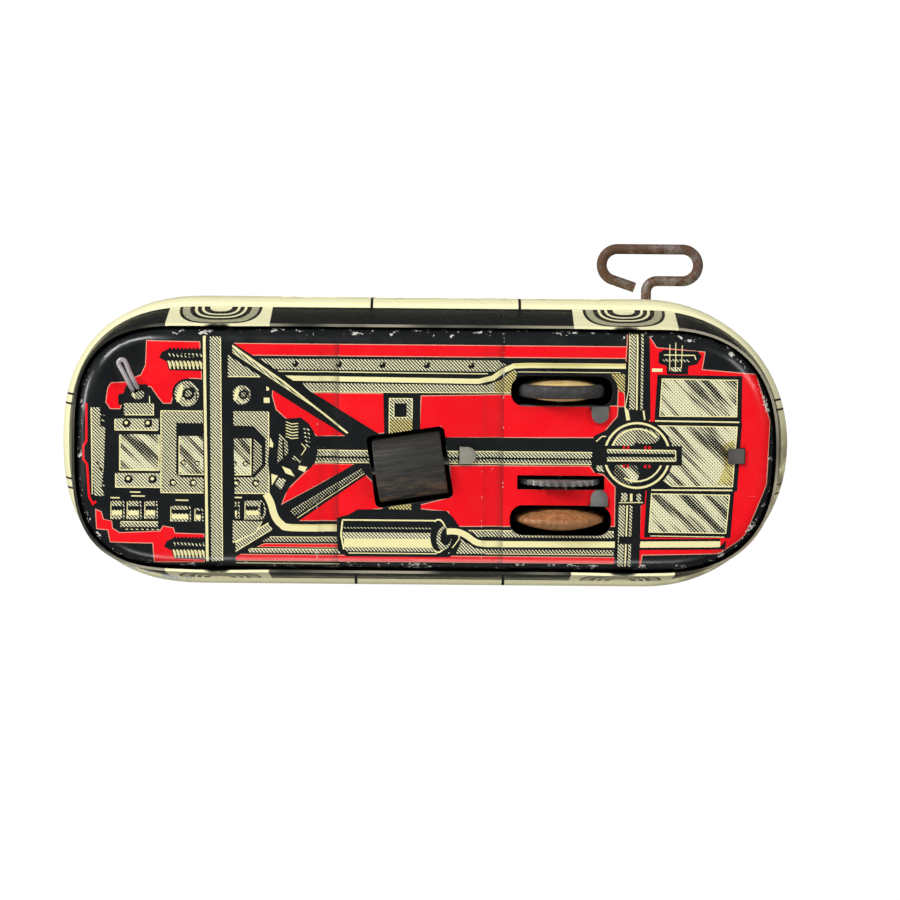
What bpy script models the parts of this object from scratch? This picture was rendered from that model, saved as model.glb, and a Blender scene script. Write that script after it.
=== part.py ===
"""Wind-up tin toy car: a pressed tin body on a pressed tin pan, a clockwork motor with its winding key,
two drive wheels on one axle, a crosswise wooden roller in the middle and a split pin that the nose slides on.

Metres, +Z up. The car's nose points to +X and its left side, where the key is, to +Y.
All pieces hang on the empty "toy", whose own frame has the car's middle plane at y = 0 and the floor at z = 0.
"""

import math

import bmesh
import bpy
from mathutils import Vector

MM = 0.001

# Overall sizes
LENGTH = 114.3 * MM
WIDTH = 45.5 * MM
HEIGHT = 46.0 * MM

# Sheet metal and clearances
TIN = 0.4 * MM
FIT_GAP = 0.15 * MM
EDGE_GAP = 0.3 * MM
PIN_GAP = 0.1 * MM

# Pan
PAN_UNDERSIDE = 3.2 * MM
PAN_EDGE_RADIUS = 2.6 * MM
PAN_RIM_HEIGHT = 2.0 * MM
NOSE_POWER = 2.3
TAIL_POWER = 2.0
SKIRT_NOSE_POWER = 3.1
SKIRT_TAIL_POWER = 2.5
RIB_DEPTH = 0.35 * MM
RIB_WIDTH = 3.2 * MM
RIB_REACH = 0.78

# Wheels and their axle
WHEEL_DIAMETER = 14.0 * MM
WHEEL_THICKNESS = 3.3 * MM
TYRE_WIDTH = 2.0 * MM
TYRE_DEPTH = 1.2 * MM
AXLE_DIAMETER = 1.8 * MM
AXLE_FROM_TAIL = 36.2 * MM
WHEEL_END_ROOM = 1.8 * MM
WHEEL_SIDE_ROOM = 0.7 * MM
GEAR_SIDE_ROOM = 0.7 * MM
GEAR_END_ROOM = 0.4 * MM

# Motor frame
MOTOR_INNER_WIDTH = 14.6 * MM
MOTOR_OFFSET = -0.7 * MM
MOTOR_PLATE_MARGIN = 2.2 * MM
WHEEL_TO_PLATE = 0.6 * MM
TAB_WIDTH = 2.7 * MM
TAB_LENGTH = 2.5 * MM
TAB_BEHIND_AXLE = 5.9 * MM
STRAP_FROM_AXLE = 15.4 * MM
PILLAR_DIAMETER = 1.5 * MM

# Gears
DRIVE_MODULE = 0.5 * MM
TRAIN_MODULE = 0.4 * MM
GREAT_TEETH = 36
INTERMEDIATE_PINION_TEETH = 10
INTERMEDIATE_TEETH = 28
AXLE_PINION_TEETH = 12
AXLE_GEAR_TEETH = 30
ESCAPE_PINION_TEETH = 8
GEAR_THICKNESS = 0.8 * MM
PINION_THICKNESS = 1.4 * MM
PRESSURE_ANGLE = math.radians(25)
GEAR_ADDENDUM = 0.75
PINION_ADDENDUM = 0.9
DEDENDUM = 1.15
TOOTH_BACKLASH = 0.16

# Winding key, ratchet and mainspring
KEY_WIRE = 1.6 * MM
KEY_BEHIND_AXLE = 13.7 * MM
KEY_HEIGHT = 20.5 * MM
KEY_LOOP_LENGTH = 16.8 * MM
KEY_LOOP_HEIGHT = 6.6 * MM
KEY_LOOP_OFFSET = 0.55 * MM
KEY_STAND_OFF = 2.0 * MM
RATCHET_TEETH = 12
RATCHET_RADIUS = 3.0 * MM
RATCHET_DEPTH = 0.6 * MM
SPRING_WIDTH = 6.0 * MM
SPRING_STRIP = 0.3 * MM
SPRING_INNER = 1.7 * MM
SPRING_OUTER = 8.2 * MM
SPRING_TURNS = 5

# Escapement
ESCAPE_RADIUS = 4.2 * MM
ESCAPE_TEETH = 10
ESCAPE_ANGLE = math.radians(25)
VERGE_DISTANCE = 5.6 * MM
VERGE_ANGLE = math.radians(20)
VERGE_CLEARANCE = 0.5 * MM
ARBOR_DIAMETER = 1.1 * MM

# Crosswise roller
ROLLER_DIAMETER = 10.3 * MM
ROLLER_LENGTH = 10.6 * MM
ROLLER_FLOOR_GAP = 0.6 * MM
ROLLER_FROM_STRAP = 7.8 * MM
ROLLER_SIDE_OFFSET = -2.6 * MM
ROLLER_ANGLE = math.radians(-8.5)
ROLLER_PIN_DIAMETER = 1.4 * MM
ROLLER_SIDE_ROOM = 0.45 * MM
ROLLER_END_ROOM = 0.75 * MM
EAR_WIDTH = 5.0 * MM

# Split pin under the nose
SKID_FROM_NOSE = 12.6 * MM
SKID_SIDE_OFFSET = 9.3 * MM
SKID_WIRE = 0.64 * MM
SKID_REACH = 5.0 * MM
SKID_DIRECTION = math.radians(68)

# Rear lug of the body
LUG_FROM_TAIL = 8.3 * MM
LUG_WIDTH = 2.3 * MM
LUG_TONGUE = 2.1 * MM
LUG_SIDE_OFFSET = -0.45 * MM

# Body contours, bottom to top: height above the floor, then how far the nose, the tail and each side reach,
# as shares of the half length and of the half width. Heights over the belt are shares of what is above it.
BODY_BELT = 18.0 * MM
LOWER_CONTOURS = [
    (4.2 * MM, 0.950, 0.953, 0.844),
    (9.0 * MM, 0.960, 0.962, 0.892),
    (13.5 * MM, 0.975, 0.975, 0.936),
    (14.2 * MM, 0.982, 0.982, 0.963),
    (16.0 * MM, 0.996, 0.996, 0.989),
]
UPPER_CONTOURS = [
    (0.0, 1.0, 1.0, 1.0),
    (0.071, 0.997, 0.997, 0.993),
    (0.179, 0.971, 0.980, 0.963),
    (0.286, 0.901, 0.945, 0.914),
    (0.357, 0.770, 0.910, 0.879),
    (0.411, 0.525, 0.875, 0.853),
    (0.446, 0.350, 0.857, 0.835),
    (0.536, 0.306, 0.805, 0.809),
    (0.679, 0.227, 0.717, 0.760),
    (0.821, 0.140, 0.595, 0.686),
    (0.929, 0.035, 0.437, 0.545),
    (0.979, -0.035, 0.350, 0.369),
    (1.0, -0.096, 0.271, 0.193),
]
SKIRT_LOBE_DEPTH = 0.8 * MM
SKIRT_LOBE_LENGTH = 17.0 * MM
FRONT_WHEEL_FROM_NOSE = 25.25 * MM
REAR_WHEEL_FROM_TAIL = 26.4 * MM

END_STEPS = 10
SIDE_STEPS = 10
ROUND_STEPS = 24

# Places that follow from the sizes above
HALF_LENGTH = LENGTH / 2
HALF_WIDTH = WIDTH / 2
KEY_TIP_Y = HALF_WIDTH + KEY_STAND_OFF + KEY_LOOP_HEIGHT
CENTRE_Y = (HALF_WIDTH - KEY_TIP_Y) / 2
PAN_TOP = PAN_UNDERSIDE + TIN
AXLE_X = -HALF_LENGTH + AXLE_FROM_TAIL
AXLE_Z = WHEEL_DIAMETER / 2
AXLE = Vector((AXLE_X, AXLE_Z))
ARBOR = Vector((AXLE_X - KEY_BEHIND_AXLE, KEY_HEIGHT))
LEFT_PLATE_Y = MOTOR_OFFSET + MOTOR_INNER_WIDTH / 2
RIGHT_PLATE_Y = MOTOR_OFFSET - MOTOR_INNER_WIDTH / 2
LEFT_WHEEL_Y = LEFT_PLATE_Y + TIN + WHEEL_TO_PLATE + WHEEL_THICKNESS / 2
RIGHT_WHEEL_Y = RIGHT_PLATE_Y - TIN - WHEEL_TO_PLATE - WHEEL_THICKNESS / 2
STRAP_X = AXLE_X + STRAP_FROM_AXLE
ROLLER_X = STRAP_X + ROLLER_FROM_STRAP
ROLLER_Z = ROLLER_DIAMETER / 2 + ROLLER_FLOOR_GAP
SKID_X = HALF_LENGTH - SKID_FROM_NOSE
LUG_X = -HALF_LENGTH + LUG_FROM_TAIL
INTERMEDIATE_PLANE = RIGHT_PLATE_Y + 1.6 * MM
AXLE_GEAR_PLANE = RIGHT_PLATE_Y + 3.2 * MM
GREAT_PLANE = RIGHT_PLATE_Y + 4.6 * MM
RATCHET_PLANE = GREAT_PLANE + GEAR_THICKNESS / 2 + EDGE_GAP + RATCHET_DEPTH / 2
SPRING_PLANE = LEFT_PLATE_Y - 1.4 * MM - SPRING_WIDTH / 2
ESCAPE_PLANE = GREAT_PLANE + 2.0 * MM

UPRIGHT = (math.pi / 2, 0, 0)


def clear_scene():
    for obj in list(bpy.data.objects):
        bpy.data.objects.remove(obj, do_unlink=True)


def new_collection(name, hidden=False):
    found = bpy.data.collections.new(name)
    found.hide_render = hidden
    bpy.context.scene.collection.children.link(found)
    return found


def paint(name, colour, roughness=0.5, metallic=0.0):
    material = bpy.data.materials.new(name)
    material.use_nodes = True
    shader = material.node_tree.nodes["Principled BSDF"]
    shader.inputs["Base Color"].default_value = (*colour, 1)
    shader.inputs["Roughness"].default_value = roughness
    shader.inputs["Metallic"].default_value = metallic
    return material


clear_scene()
CAR = new_collection("wind_up_tin_car")
CUTTERS = new_collection("cutters", hidden=True)
TOY = bpy.data.objects.new("toy", None)
TOY.location = (0, CENTRE_Y, 0)
CAR.objects.link(TOY)

CREAM = paint("cream_enamel", (0.83, 0.76, 0.48), 0.35)
RED = paint("red_enamel", (0.75, 0.01, 0.02), 0.35)
BARE_TIN = paint("bare_tin", (0.45, 0.44, 0.42), 0.45, 0.9)
STEEL = paint("spring_steel", (0.25, 0.25, 0.27), 0.4, 1.0)
RUSTED = paint("brown_steel", (0.28, 0.2, 0.16), 0.6, 0.8)
BRASS = paint("brass", (0.7, 0.52, 0.2), 0.35, 1.0)
PALE_WOOD = paint("pale_wood", (0.75, 0.55, 0.28), 0.6)
BROWN_WOOD = paint("brown_wood", (0.36, 0.17, 0.06), 0.5)
BLACK_WOOD = paint("black_wood", (0.05, 0.05, 0.045), 0.6)
RUBBER = paint("rubber", (0.04, 0.04, 0.045), 0.8)


def place(obj, location=(0, 0, 0), rotation=(0, 0, 0), material=None, helper=False):
    """Puts an object under the toy's empty, as a piece or as a hidden cutter."""
    obj.location = location
    obj.rotation_euler = rotation
    obj.parent = TOY
    if helper:
        CUTTERS.objects.link(obj)
        obj.hide_render = True
        obj.display_type = "WIRE"
    else:
        CAR.objects.link(obj)
        obj.data.materials.append(material)
    return obj


def arc(centre, radius, start, end, steps):
    """Points along an arc, its two ends included. Angles in radians."""
    found = []
    for k in range(steps + 1):
        angle = start + (end - start) * k / steps
        found.append((centre[0] + radius * math.cos(angle), centre[1] + radius * math.sin(angle)))
    return found


def circle(centre, radius, steps=ROUND_STEPS):
    return arc(centre, radius, 0, 2 * math.pi, steps)[:-1]


def rectangle(low, high):
    return [(low[0], low[1]), (high[0], low[1]), (high[0], high[1]), (low[0], high[1])]


def rounded_rectangle(centre, length, width, radius, steps=4):
    half = Vector((length / 2 - radius, width / 2 - radius))
    corners = [(1, 1, 0), (-1, 1, 90), (-1, -1, 180), (1, -1, 270)]
    found = []
    for sx, sy, degrees in corners:
        corner = (centre[0] + sx * half.x, centre[1] + sy * half.y)
        start = math.radians(degrees)
        found += arc(corner, radius, start, start + math.pi / 2, steps)
    return found


def bezel(obj, sharp_degrees=35):
    obj.data.shade_smooth()
    obj.data.set_sharp_from_angle(angle=math.radians(sharp_degrees))
    return obj


def flat_part(name, outlines, thickness, **placing):
    """A flat piece: the first outline is its edge, and the others are holes in it."""
    curve = bpy.data.curves.new(name, "CURVE")
    curve.dimensions = "2D"
    curve.fill_mode = "BOTH"
    curve.extrude = thickness / 2
    for outline in outlines:
        spline = curve.splines.new("POLY")
        spline.points.add(len(outline) - 1)
        for point, (u, v) in zip(spline.points, outline):
            point.co = (u, v, 0, 1)
        spline.use_cyclic_u = True
    return place(bpy.data.objects.new(name, curve), **placing)


def wire_part(name, points, diameter, sides=2, **placing):
    """A round wire along the points, with flat ends."""
    curve = bpy.data.curves.new(name, "CURVE")
    curve.dimensions = "3D"
    curve.bevel_depth = diameter / 2
    curve.bevel_resolution = sides
    curve.use_fill_caps = True
    spline = curve.splines.new("POLY")
    spline.points.add(len(points) - 1)
    for point, co in zip(spline.points, points):
        point.co = (*co, 1)
    return place(bpy.data.objects.new(name, curve), **placing)


def as_mesh(obj):
    """The same piece as a closed mesh, so that a Boolean can take it."""
    bpy.context.view_layer.update()
    graph = bpy.context.evaluated_depsgraph_get()
    mesh = bpy.data.meshes.new_from_object(obj.evaluated_get(graph))
    shape = bmesh.new()
    shape.from_mesh(mesh)
    bmesh.ops.remove_doubles(shape, verts=shape.verts, dist=1e-6)
    bmesh.ops.recalc_face_normals(shape, faces=shape.faces)
    shape.to_mesh(mesh)
    shape.free()
    name, collection, world = obj.name, obj.users_collection[0], obj.matrix_world.copy()
    hidden = obj.hide_render
    bpy.data.objects.remove(obj)
    solid = bpy.data.objects.new(name, mesh)
    collection.objects.link(solid)
    solid.parent = TOY
    solid.matrix_world = world
    solid.hide_render = hidden
    if hidden:
        solid.display_type = "WIRE"
    return solid


def box(name, low, high, **placing):
    """A box given by two corners, its origin in its middle."""
    low, high = Vector(low), Vector(high)
    shape = bmesh.new()
    bmesh.ops.create_cube(shape, size=1)
    bmesh.ops.scale(shape, vec=high - low, verts=shape.verts)
    mesh = bpy.data.meshes.new(name)
    shape.to_mesh(mesh)
    shape.free()
    return place(bpy.data.objects.new(name, mesh), location=(low + high) / 2, **placing)


def rod(name, radius, low_y, high_y, centre, material, steps=16, chamfer=0.0):
    """A round bar along Y with its origin on its own axis."""
    bevel = min(chamfer, radius / 2)
    profile = [
        (0, high_y),
        (radius - bevel, high_y),
        (radius, high_y - bevel),
        (radius, low_y + bevel),
        (radius - bevel, low_y),
        (0, low_y),
    ]
    if bevel == 0:
        profile = [profile[0], (radius, high_y), (radius, low_y), profile[-1]]
    return turned(name, profile, centre, material, steps)


def turned(name, profile, centre, material, steps=32, axis_angle=0.0):
    """A turned piece whose axis is Y. The profile holds (radius, y) from its high end down its outer side."""
    mesh = bpy.data.meshes.new(name)
    closed = min(radius for radius, _ in profile) > 0
    points = [(radius, 0, -y) for radius, y in reversed(profile)]
    edges = [(k, k + 1) for k in range(len(points) - 1)]
    if closed:
        edges.append((len(points) - 1, 0))
    mesh.from_pydata(points, edges, [])
    obj = bpy.data.objects.new(name, mesh)
    screw = obj.modifiers.new("turn", "SCREW")
    screw.axis = "Z"
    screw.steps = steps
    screw.render_steps = steps
    screw.use_merge_vertices = True
    screw.merge_threshold = 1e-6
    screw.use_smooth_shade = True
    rotation = (math.pi / 2, 0, axis_angle)
    return place(obj, location=(centre[0], 0, centre[1]), rotation=rotation, material=material)


def modify(target, tool, operation):
    modifier = target.modifiers.new(f"{operation.lower()}_{tool.name}", "BOOLEAN")
    modifier.operation = operation
    modifier.solver = "EXACT"
    modifier.object = tool


def end_powers(height):
    """How square the nose and the tail are at this height: squarer at the skirt than at the belt."""
    lowest = LOWER_CONTOURS[0][0]
    share = min(1.0, max(0.0, (BODY_BELT - height) / (BODY_BELT - lowest)))
    nose = NOSE_POWER + share * (SKIRT_NOSE_POWER - NOSE_POWER)
    return nose, TAIL_POWER + share * (SKIRT_TAIL_POWER - TAIL_POWER)


def plan_ring(nose, tail, half_width, height):
    """Points round the car's outline at this height, anticlockwise from the middle of the right side."""
    nose_power, tail_power = end_powers(height)
    reach = min(half_width, (nose - tail) / 2)
    found = []
    for k in range(SIDE_STEPS):
        share = k / SIDE_STEPS
        found.append((tail + reach + share * (nose - tail - 2 * reach), -half_width))
    found += end_curve(nose - reach, reach, half_width, nose_power, -1)
    for k in range(SIDE_STEPS):
        share = k / SIDE_STEPS
        found.append((nose - reach - share * (nose - tail - 2 * reach), half_width))
    found += end_curve(tail + reach, -reach, -half_width, tail_power, -1)
    return found


def end_curve(centre, reach, half_width, power, turn):
    """Half a superellipse from one side to the other, its last point left out."""
    found = []
    for k in range(2 * END_STEPS):
        angle = turn * math.pi / 2 + math.pi * k / (2 * END_STEPS)
        across = math.copysign(abs(math.sin(angle)) ** (2 / power), math.sin(angle))
        found.append((centre + reach * abs(math.cos(angle)) ** (2 / power), half_width * across))
    return found


def loft(rings, close_first=False, close_last=False):
    """A mesh of quads between rings of equally many points, with its first or last ring filled."""
    shape = bmesh.new()
    rows = [[shape.verts.new(co) for co in ring] for ring in rings]
    count = len(rows[0])
    for low, high in zip(rows, rows[1:]):
        for k in range(count):
            following = (k + 1) % count
            shape.faces.new((low[k], low[following], high[following], high[k]))
    if close_first:
        shape.faces.new(list(reversed(rows[0])))
    if close_last:
        shape.faces.new(rows[-1])
    return shape


def skirt_lobe(x):
    """How far the skirt hangs lower at x, under each drawn wheel."""
    for centre in (HALF_LENGTH - FRONT_WHEEL_FROM_NOSE, -HALF_LENGTH + REAR_WHEEL_FROM_TAIL):
        share = abs(x - centre) / (SKIRT_LOBE_LENGTH / 2)
        if share < 1:
            return SKIRT_LOBE_DEPTH * math.cos(share * math.pi / 2) ** 2
    return 0.0


def body_contours():
    """Every contour of the body as (height, nose x, tail x, half width)."""
    contours = list(LOWER_CONTOURS)
    for share, nose, tail, side in UPPER_CONTOURS:
        contours.append((BODY_BELT + share * (HEIGHT - BODY_BELT), nose, tail, side))
    return [(z, nose * HALF_LENGTH, -tail * HALF_LENGTH, side * HALF_WIDTH) for z, nose, tail, side in contours]


def build_body_shell():
    rings = []
    for z, nose, tail, half_width in body_contours():
        hangs = not rings
        plan = plan_ring(nose, tail, half_width, z)
        rings.append([(x, y, z - skirt_lobe(x) * hangs) for x, y in plan])
    shape = loft(rings, close_last=True)
    mesh = bpy.data.meshes.new("body_shell")
    shape.to_mesh(mesh)
    shape.free()
    obj = place(bpy.data.objects.new("body_shell", mesh), material=CREAM)
    wall = obj.modifiers.new("wall", "SOLIDIFY")
    wall.thickness = TIN
    wall.offset = -1
    key_hole = circle((0, 0), KEY_WIRE / 2 + 0.5 * MM)
    cutter = flat_part(
        "key_hole_cutter",
        [key_hole],
        8 * MM,
        location=(ARBOR.x, HALF_WIDTH, ARBOR.y),
        rotation=UPRIGHT,
        helper=True,
    )
    modify(obj, as_mesh(cutter), "DIFFERENCE")
    return bezel(obj)


def pan_surface():
    """The pan's outer skin: a flat floor with two cross ribs, a rounded edge and an upright rim."""
    _, nose, tail, half_width = body_contours()[0]
    play = TIN + EDGE_GAP
    rings = []
    edge_steps = 4
    for k in range(edge_steps + 1):
        angle = math.pi / 2 * k / edge_steps
        inset = play + PAN_EDGE_RADIUS * (1 - math.sin(angle))
        z = PAN_UNDERSIDE + PAN_EDGE_RADIUS * (1 - math.cos(angle))
        plan = plan_ring(nose - inset, tail + inset, half_width - inset, PAN_UNDERSIDE)
        rings.append([(x, y, z) for x, y in plan])
    rings.append([(x, y, z + PAN_RIM_HEIGHT) for x, y, z in rings[-1]])
    shape = loft(rings, close_first=True)
    reach = RIB_REACH * half_width
    for centre in (STRAP_X - 4.9 * MM, ROLLER_X + 12.6 * MM):
        for shift in (-0.5, 0.0, 0.5):
            split(shape, (centre + shift * RIB_WIDTH, 0, 0), (1, 0, 0))
    for side in (-reach, reach):
        split(shape, (0, side, 0), (0, 1, 0))
    for vert in shape.verts:
        on_floor = vert.co.z < PAN_UNDERSIDE + 1e-6 and abs(vert.co.y) < reach + 1e-6
        if on_floor and any(abs(vert.co.x - c) < 1e-6 for c in (STRAP_X - 4.9 * MM, ROLLER_X + 12.6 * MM)):
            vert.co.z += RIB_DEPTH
    return shape


def split(shape, point, normal):
    everything = list(shape.verts) + list(shape.edges) + list(shape.faces)
    bmesh.ops.bisect_plane(shape, geom=everything, plane_co=point, plane_no=normal, dist=1e-7)


def pan_cut(name, outline, turn=0.0, centre=(0, 0)):
    """A cutter through the pan's floor, with this outline seen from above."""
    cutter = flat_part(
        name,
        [outline],
        3 * PAN_EDGE_RADIUS,
        location=(centre[0], centre[1], PAN_UNDERSIDE),
        rotation=(0, 0, turn),
        helper=True,
    )
    return as_mesh(cutter)


def roller_hole_size():
    length = ROLLER_LENGTH + 2 * ROLLER_END_ROOM
    return length, ROLLER_DIAMETER + 2 * ROLLER_SIDE_ROOM


def build_base_pan():
    shape = pan_surface()
    mesh = bpy.data.meshes.new("base_pan")
    shape.to_mesh(mesh)
    shape.free()
    pan = place(bpy.data.objects.new("base_pan", mesh), material=RED)
    wall = pan.modifiers.new("wall", "SOLIDIFY")
    wall.thickness = TIN
    wall.offset = -1
    length, width = roller_hole_size()
    cuts = [
        pan_cut(
            "roller_opening_cutter",
            rounded_rectangle((0, 0), length, width, 0.9 * MM),
            ROLLER_ANGLE,
            (ROLLER_X, ROLLER_SIDE_OFFSET),
        ),
        wheel_slot_cut("left_wheel_slot_cutter", LEFT_WHEEL_Y),
        wheel_slot_cut("right_wheel_slot_cutter", RIGHT_WHEEL_Y),
        gear_slot_cut(),
        slit_cut("left_tab_slit_cutter", AXLE_X - TAB_BEHIND_AXLE, LEFT_PLATE_Y + TIN / 2, TAB_WIDTH, TIN),
        slit_cut("right_tab_slit_cutter", AXLE_X - TAB_BEHIND_AXLE, RIGHT_PLATE_Y - TIN / 2, TAB_WIDTH, TIN),
        slit_cut("strap_slit_cutter", STRAP_X, MOTOR_OFFSET, TIN, TAB_WIDTH),
        slit_cut("lug_slit_cutter", LUG_X, LUG_SIDE_OFFSET, TIN, LUG_WIDTH),
        pan_cut("skid_hole_cutter", circle((SKID_X, SKID_SIDE_OFFSET), SKID_WIRE + 0.25 * MM, 16)),
    ]
    for cutter in cuts:
        modify(pan, cutter, "DIFFERENCE")
    for sign, name in ((1, "front_ear"), (-1, "rear_ear")):
        modify(pan, build_ear(name, sign), "UNION")
    return bezel(pan)


def wheel_slot_cut(name, y):
    """A wheel's slot: as long as the wheel is at the pan's level, with room at its ends and sides."""
    chord = 2 * math.sqrt(max(0.0, (WHEEL_DIAMETER / 2) ** 2 - (AXLE_Z - PAN_TOP) ** 2))
    length = chord + 2 * WHEEL_END_ROOM
    width = WHEEL_THICKNESS + 2 * WHEEL_SIDE_ROOM
    return pan_cut(name, rounded_rectangle((AXLE_X, y), length, width, 0.43 * width))


def gear_slot_cut():
    """The slot under the axle gear, whose teeth reach down into the pan."""
    length = 2 * (axle_gear_tip() + GEAR_END_ROOM)
    width = GEAR_THICKNESS + 2 * GEAR_SIDE_ROOM
    return pan_cut("gear_slot_cutter", rounded_rectangle((AXLE_X, AXLE_GEAR_PLANE), length, width, 0.2 * MM))


def slit_cut(name, x, y, along_x, along_y):
    low = (x - along_x / 2 - FIT_GAP, y - along_y / 2 - FIT_GAP)
    high = (x + along_x / 2 + FIT_GAP, y + along_y / 2 + FIT_GAP)
    return pan_cut(name, rectangle(low, high))


def build_ear(name, sign):
    """One upright ear that the roller's pin runs in, bent up from the end of the roller's opening."""
    shift = sign * (roller_hole_size()[0] / 2 + TIN / 4)
    pin_height = ROLLER_Z - PAN_UNDERSIDE
    edge = [(-EAR_WIDTH / 2, TIN / 2), (EAR_WIDTH / 2, TIN / 2)]
    edge += arc((0, pin_height), EAR_WIDTH / 2, 0, math.pi, 8)
    hole = circle((0, pin_height), ROLLER_PIN_DIAMETER / 2 + PIN_GAP, 12)
    ear = flat_part(
        name,
        [edge, hole],
        TIN,
        location=(
            ROLLER_X + shift * math.cos(ROLLER_ANGLE),
            ROLLER_SIDE_OFFSET + shift * math.sin(ROLLER_ANGLE),
            PAN_UNDERSIDE,
        ),
        rotation=(math.pi / 2, 0, math.pi / 2 + ROLLER_ANGLE),
        helper=True,
    )
    return as_mesh(ear)


def gear_outline(teeth, module, addendum, phase=0.0):
    """The edge of an involute gear about its own centre; phase turns it by that share of a tooth."""
    pitch_radius = teeth * module / 2
    base_radius = pitch_radius * math.cos(PRESSURE_ANGLE)
    tip = pitch_radius + addendum * module
    root = pitch_radius - DEDENDUM * module
    flank_start = max(base_radius, root)
    half_tooth = (math.pi / 2 - TOOTH_BACKLASH) / teeth
    flank = []
    for radius in (flank_start, (flank_start + tip) / 2, tip):
        flank.append((radius, half_tooth + involute(PRESSURE_ANGLE) - involute_at(radius, base_radius)))
    if root < base_radius:
        flank.insert(0, (root, flank[0][1]))
    found = []
    for tooth in range(teeth):
        middle = 2 * math.pi * (tooth + phase) / teeth
        for radius, half in flank:
            found.append((radius * math.cos(middle - half), radius * math.sin(middle - half)))
        for radius, half in reversed(flank):
            found.append((radius * math.cos(middle + half), radius * math.sin(middle + half)))
    return found


def involute(angle):
    return math.tan(angle) - angle


def involute_at(radius, base_radius):
    return involute(math.acos(min(1.0, base_radius / radius)))


def axle_gear_tip():
    return AXLE_GEAR_TEETH * TRAIN_MODULE / 2 + GEAR_ADDENDUM * TRAIN_MODULE


def meeting_point(start, end, from_start, from_end):
    """The point at these two distances from two others, on the upper side of the line between them."""
    line = end - start
    along = (from_start**2 - from_end**2 + line.length**2) / (2 * line.length)
    across = math.sqrt(max(0.0, from_start**2 - along**2))
    direction = line.normalized()
    return start + along * direction + across * Vector((-direction.y, direction.x))


def mesh_phase(own_teeth, own_centre, other_teeth, other_centre, other_phase):
    """The phase that sets a gap of this gear where the other gear has a tooth, and the other way round."""
    towards = math.atan2(own_centre.y - other_centre.y, own_centre.x - other_centre.x)
    other_teeth_past = towards * other_teeth / (2 * math.pi) - other_phase
    own_teeth_past = (towards + math.pi) * own_teeth / (2 * math.pi)
    return own_teeth_past + other_teeth_past + 0.5


INTERMEDIATE = meeting_point(
    ARBOR,
    AXLE,
    (GREAT_TEETH + INTERMEDIATE_PINION_TEETH) * DRIVE_MODULE / 2,
    (INTERMEDIATE_TEETH + AXLE_PINION_TEETH) * TRAIN_MODULE / 2,
)
ESCAPE_REACH = (AXLE_GEAR_TEETH + ESCAPE_PINION_TEETH) * TRAIN_MODULE / 2
ESCAPE = AXLE + ESCAPE_REACH * Vector((math.cos(ESCAPE_ANGLE), math.sin(ESCAPE_ANGLE)))
VERGE = ESCAPE + VERGE_DISTANCE * Vector((math.cos(VERGE_ANGLE), math.sin(VERGE_ANGLE)))


def gear(name, outlines, plane_y, thickness, centre, material):
    return flat_part(
        name,
        outlines,
        thickness,
        location=(centre.x, plane_y, centre.y),
        rotation=UPRIGHT,
        material=material,
    )


def build_gears():
    """The train: great gear, intermediate pinion and gear, axle pinion and gear, escape pinion and wheel."""
    pinion_teeth, gear_teeth = INTERMEDIATE_PINION_TEETH, INTERMEDIATE_TEETH
    pinion_phase = mesh_phase(pinion_teeth, INTERMEDIATE, GREAT_TEETH, ARBOR, 0)
    axle_phase = mesh_phase(AXLE_PINION_TEETH, AXLE, gear_teeth, INTERMEDIATE, 0)
    escape_phase = mesh_phase(ESCAPE_PINION_TEETH, ESCAPE, AXLE_GEAR_TEETH, AXLE, 0)
    arbor_hole = circle((0, 0), KEY_WIRE / 2 + PIN_GAP, 16)
    small_hole = circle((0, 0), ARBOR_DIAMETER / 2 + PIN_GAP, 12)
    axle_hole = circle((0, 0), AXLE_DIAMETER / 2 + PIN_GAP, 16)
    rivet_hole = circle((CLICK_PIVOT.x, CLICK_PIVOT.y), CLICK_RIVET / 2 + PIN_GAP, 12)
    windows = [circle(arc((0, 0), 5.6 * MM, a, a, 1)[0], 1.6 * MM, 12) for a in WINDOW_ANGLES]
    edge = gear_outline(GREAT_TEETH, DRIVE_MODULE, GEAR_ADDENDUM)
    gear("great_gear", [edge, arbor_hole, rivet_hole, *windows], GREAT_PLANE, GEAR_THICKNESS, ARBOR, BRASS)
    edge = gear_outline(pinion_teeth, DRIVE_MODULE, PINION_ADDENDUM, pinion_phase)
    gear("intermediate_pinion", [edge, small_hole], GREAT_PLANE, PINION_THICKNESS, INTERMEDIATE, STEEL)
    edge = gear_outline(gear_teeth, TRAIN_MODULE, GEAR_ADDENDUM)
    gear("intermediate_gear", [edge, small_hole], INTERMEDIATE_PLANE, GEAR_THICKNESS, INTERMEDIATE, BRASS)
    edge = gear_outline(AXLE_PINION_TEETH, TRAIN_MODULE, PINION_ADDENDUM, axle_phase)
    gear("axle_pinion", [edge, axle_hole], INTERMEDIATE_PLANE, PINION_THICKNESS, AXLE, STEEL)
    edge = gear_outline(AXLE_GEAR_TEETH, TRAIN_MODULE, GEAR_ADDENDUM)
    gear("axle_gear", [edge, axle_hole], AXLE_GEAR_PLANE, GEAR_THICKNESS, AXLE, STEEL)
    edge = gear_outline(ESCAPE_PINION_TEETH, TRAIN_MODULE, GEAR_ADDENDUM, escape_phase)
    gear("escape_pinion", [edge, small_hole], AXLE_GEAR_PLANE, PINION_THICKNESS, ESCAPE, STEEL)
    edge = saw_teeth(ESCAPE_TEETH, ESCAPE_RADIUS, 1.1 * MM)
    gear("escape_wheel", [edge, small_hole], ESCAPE_PLANE, RATCHET_DEPTH, ESCAPE, BRASS)


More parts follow.
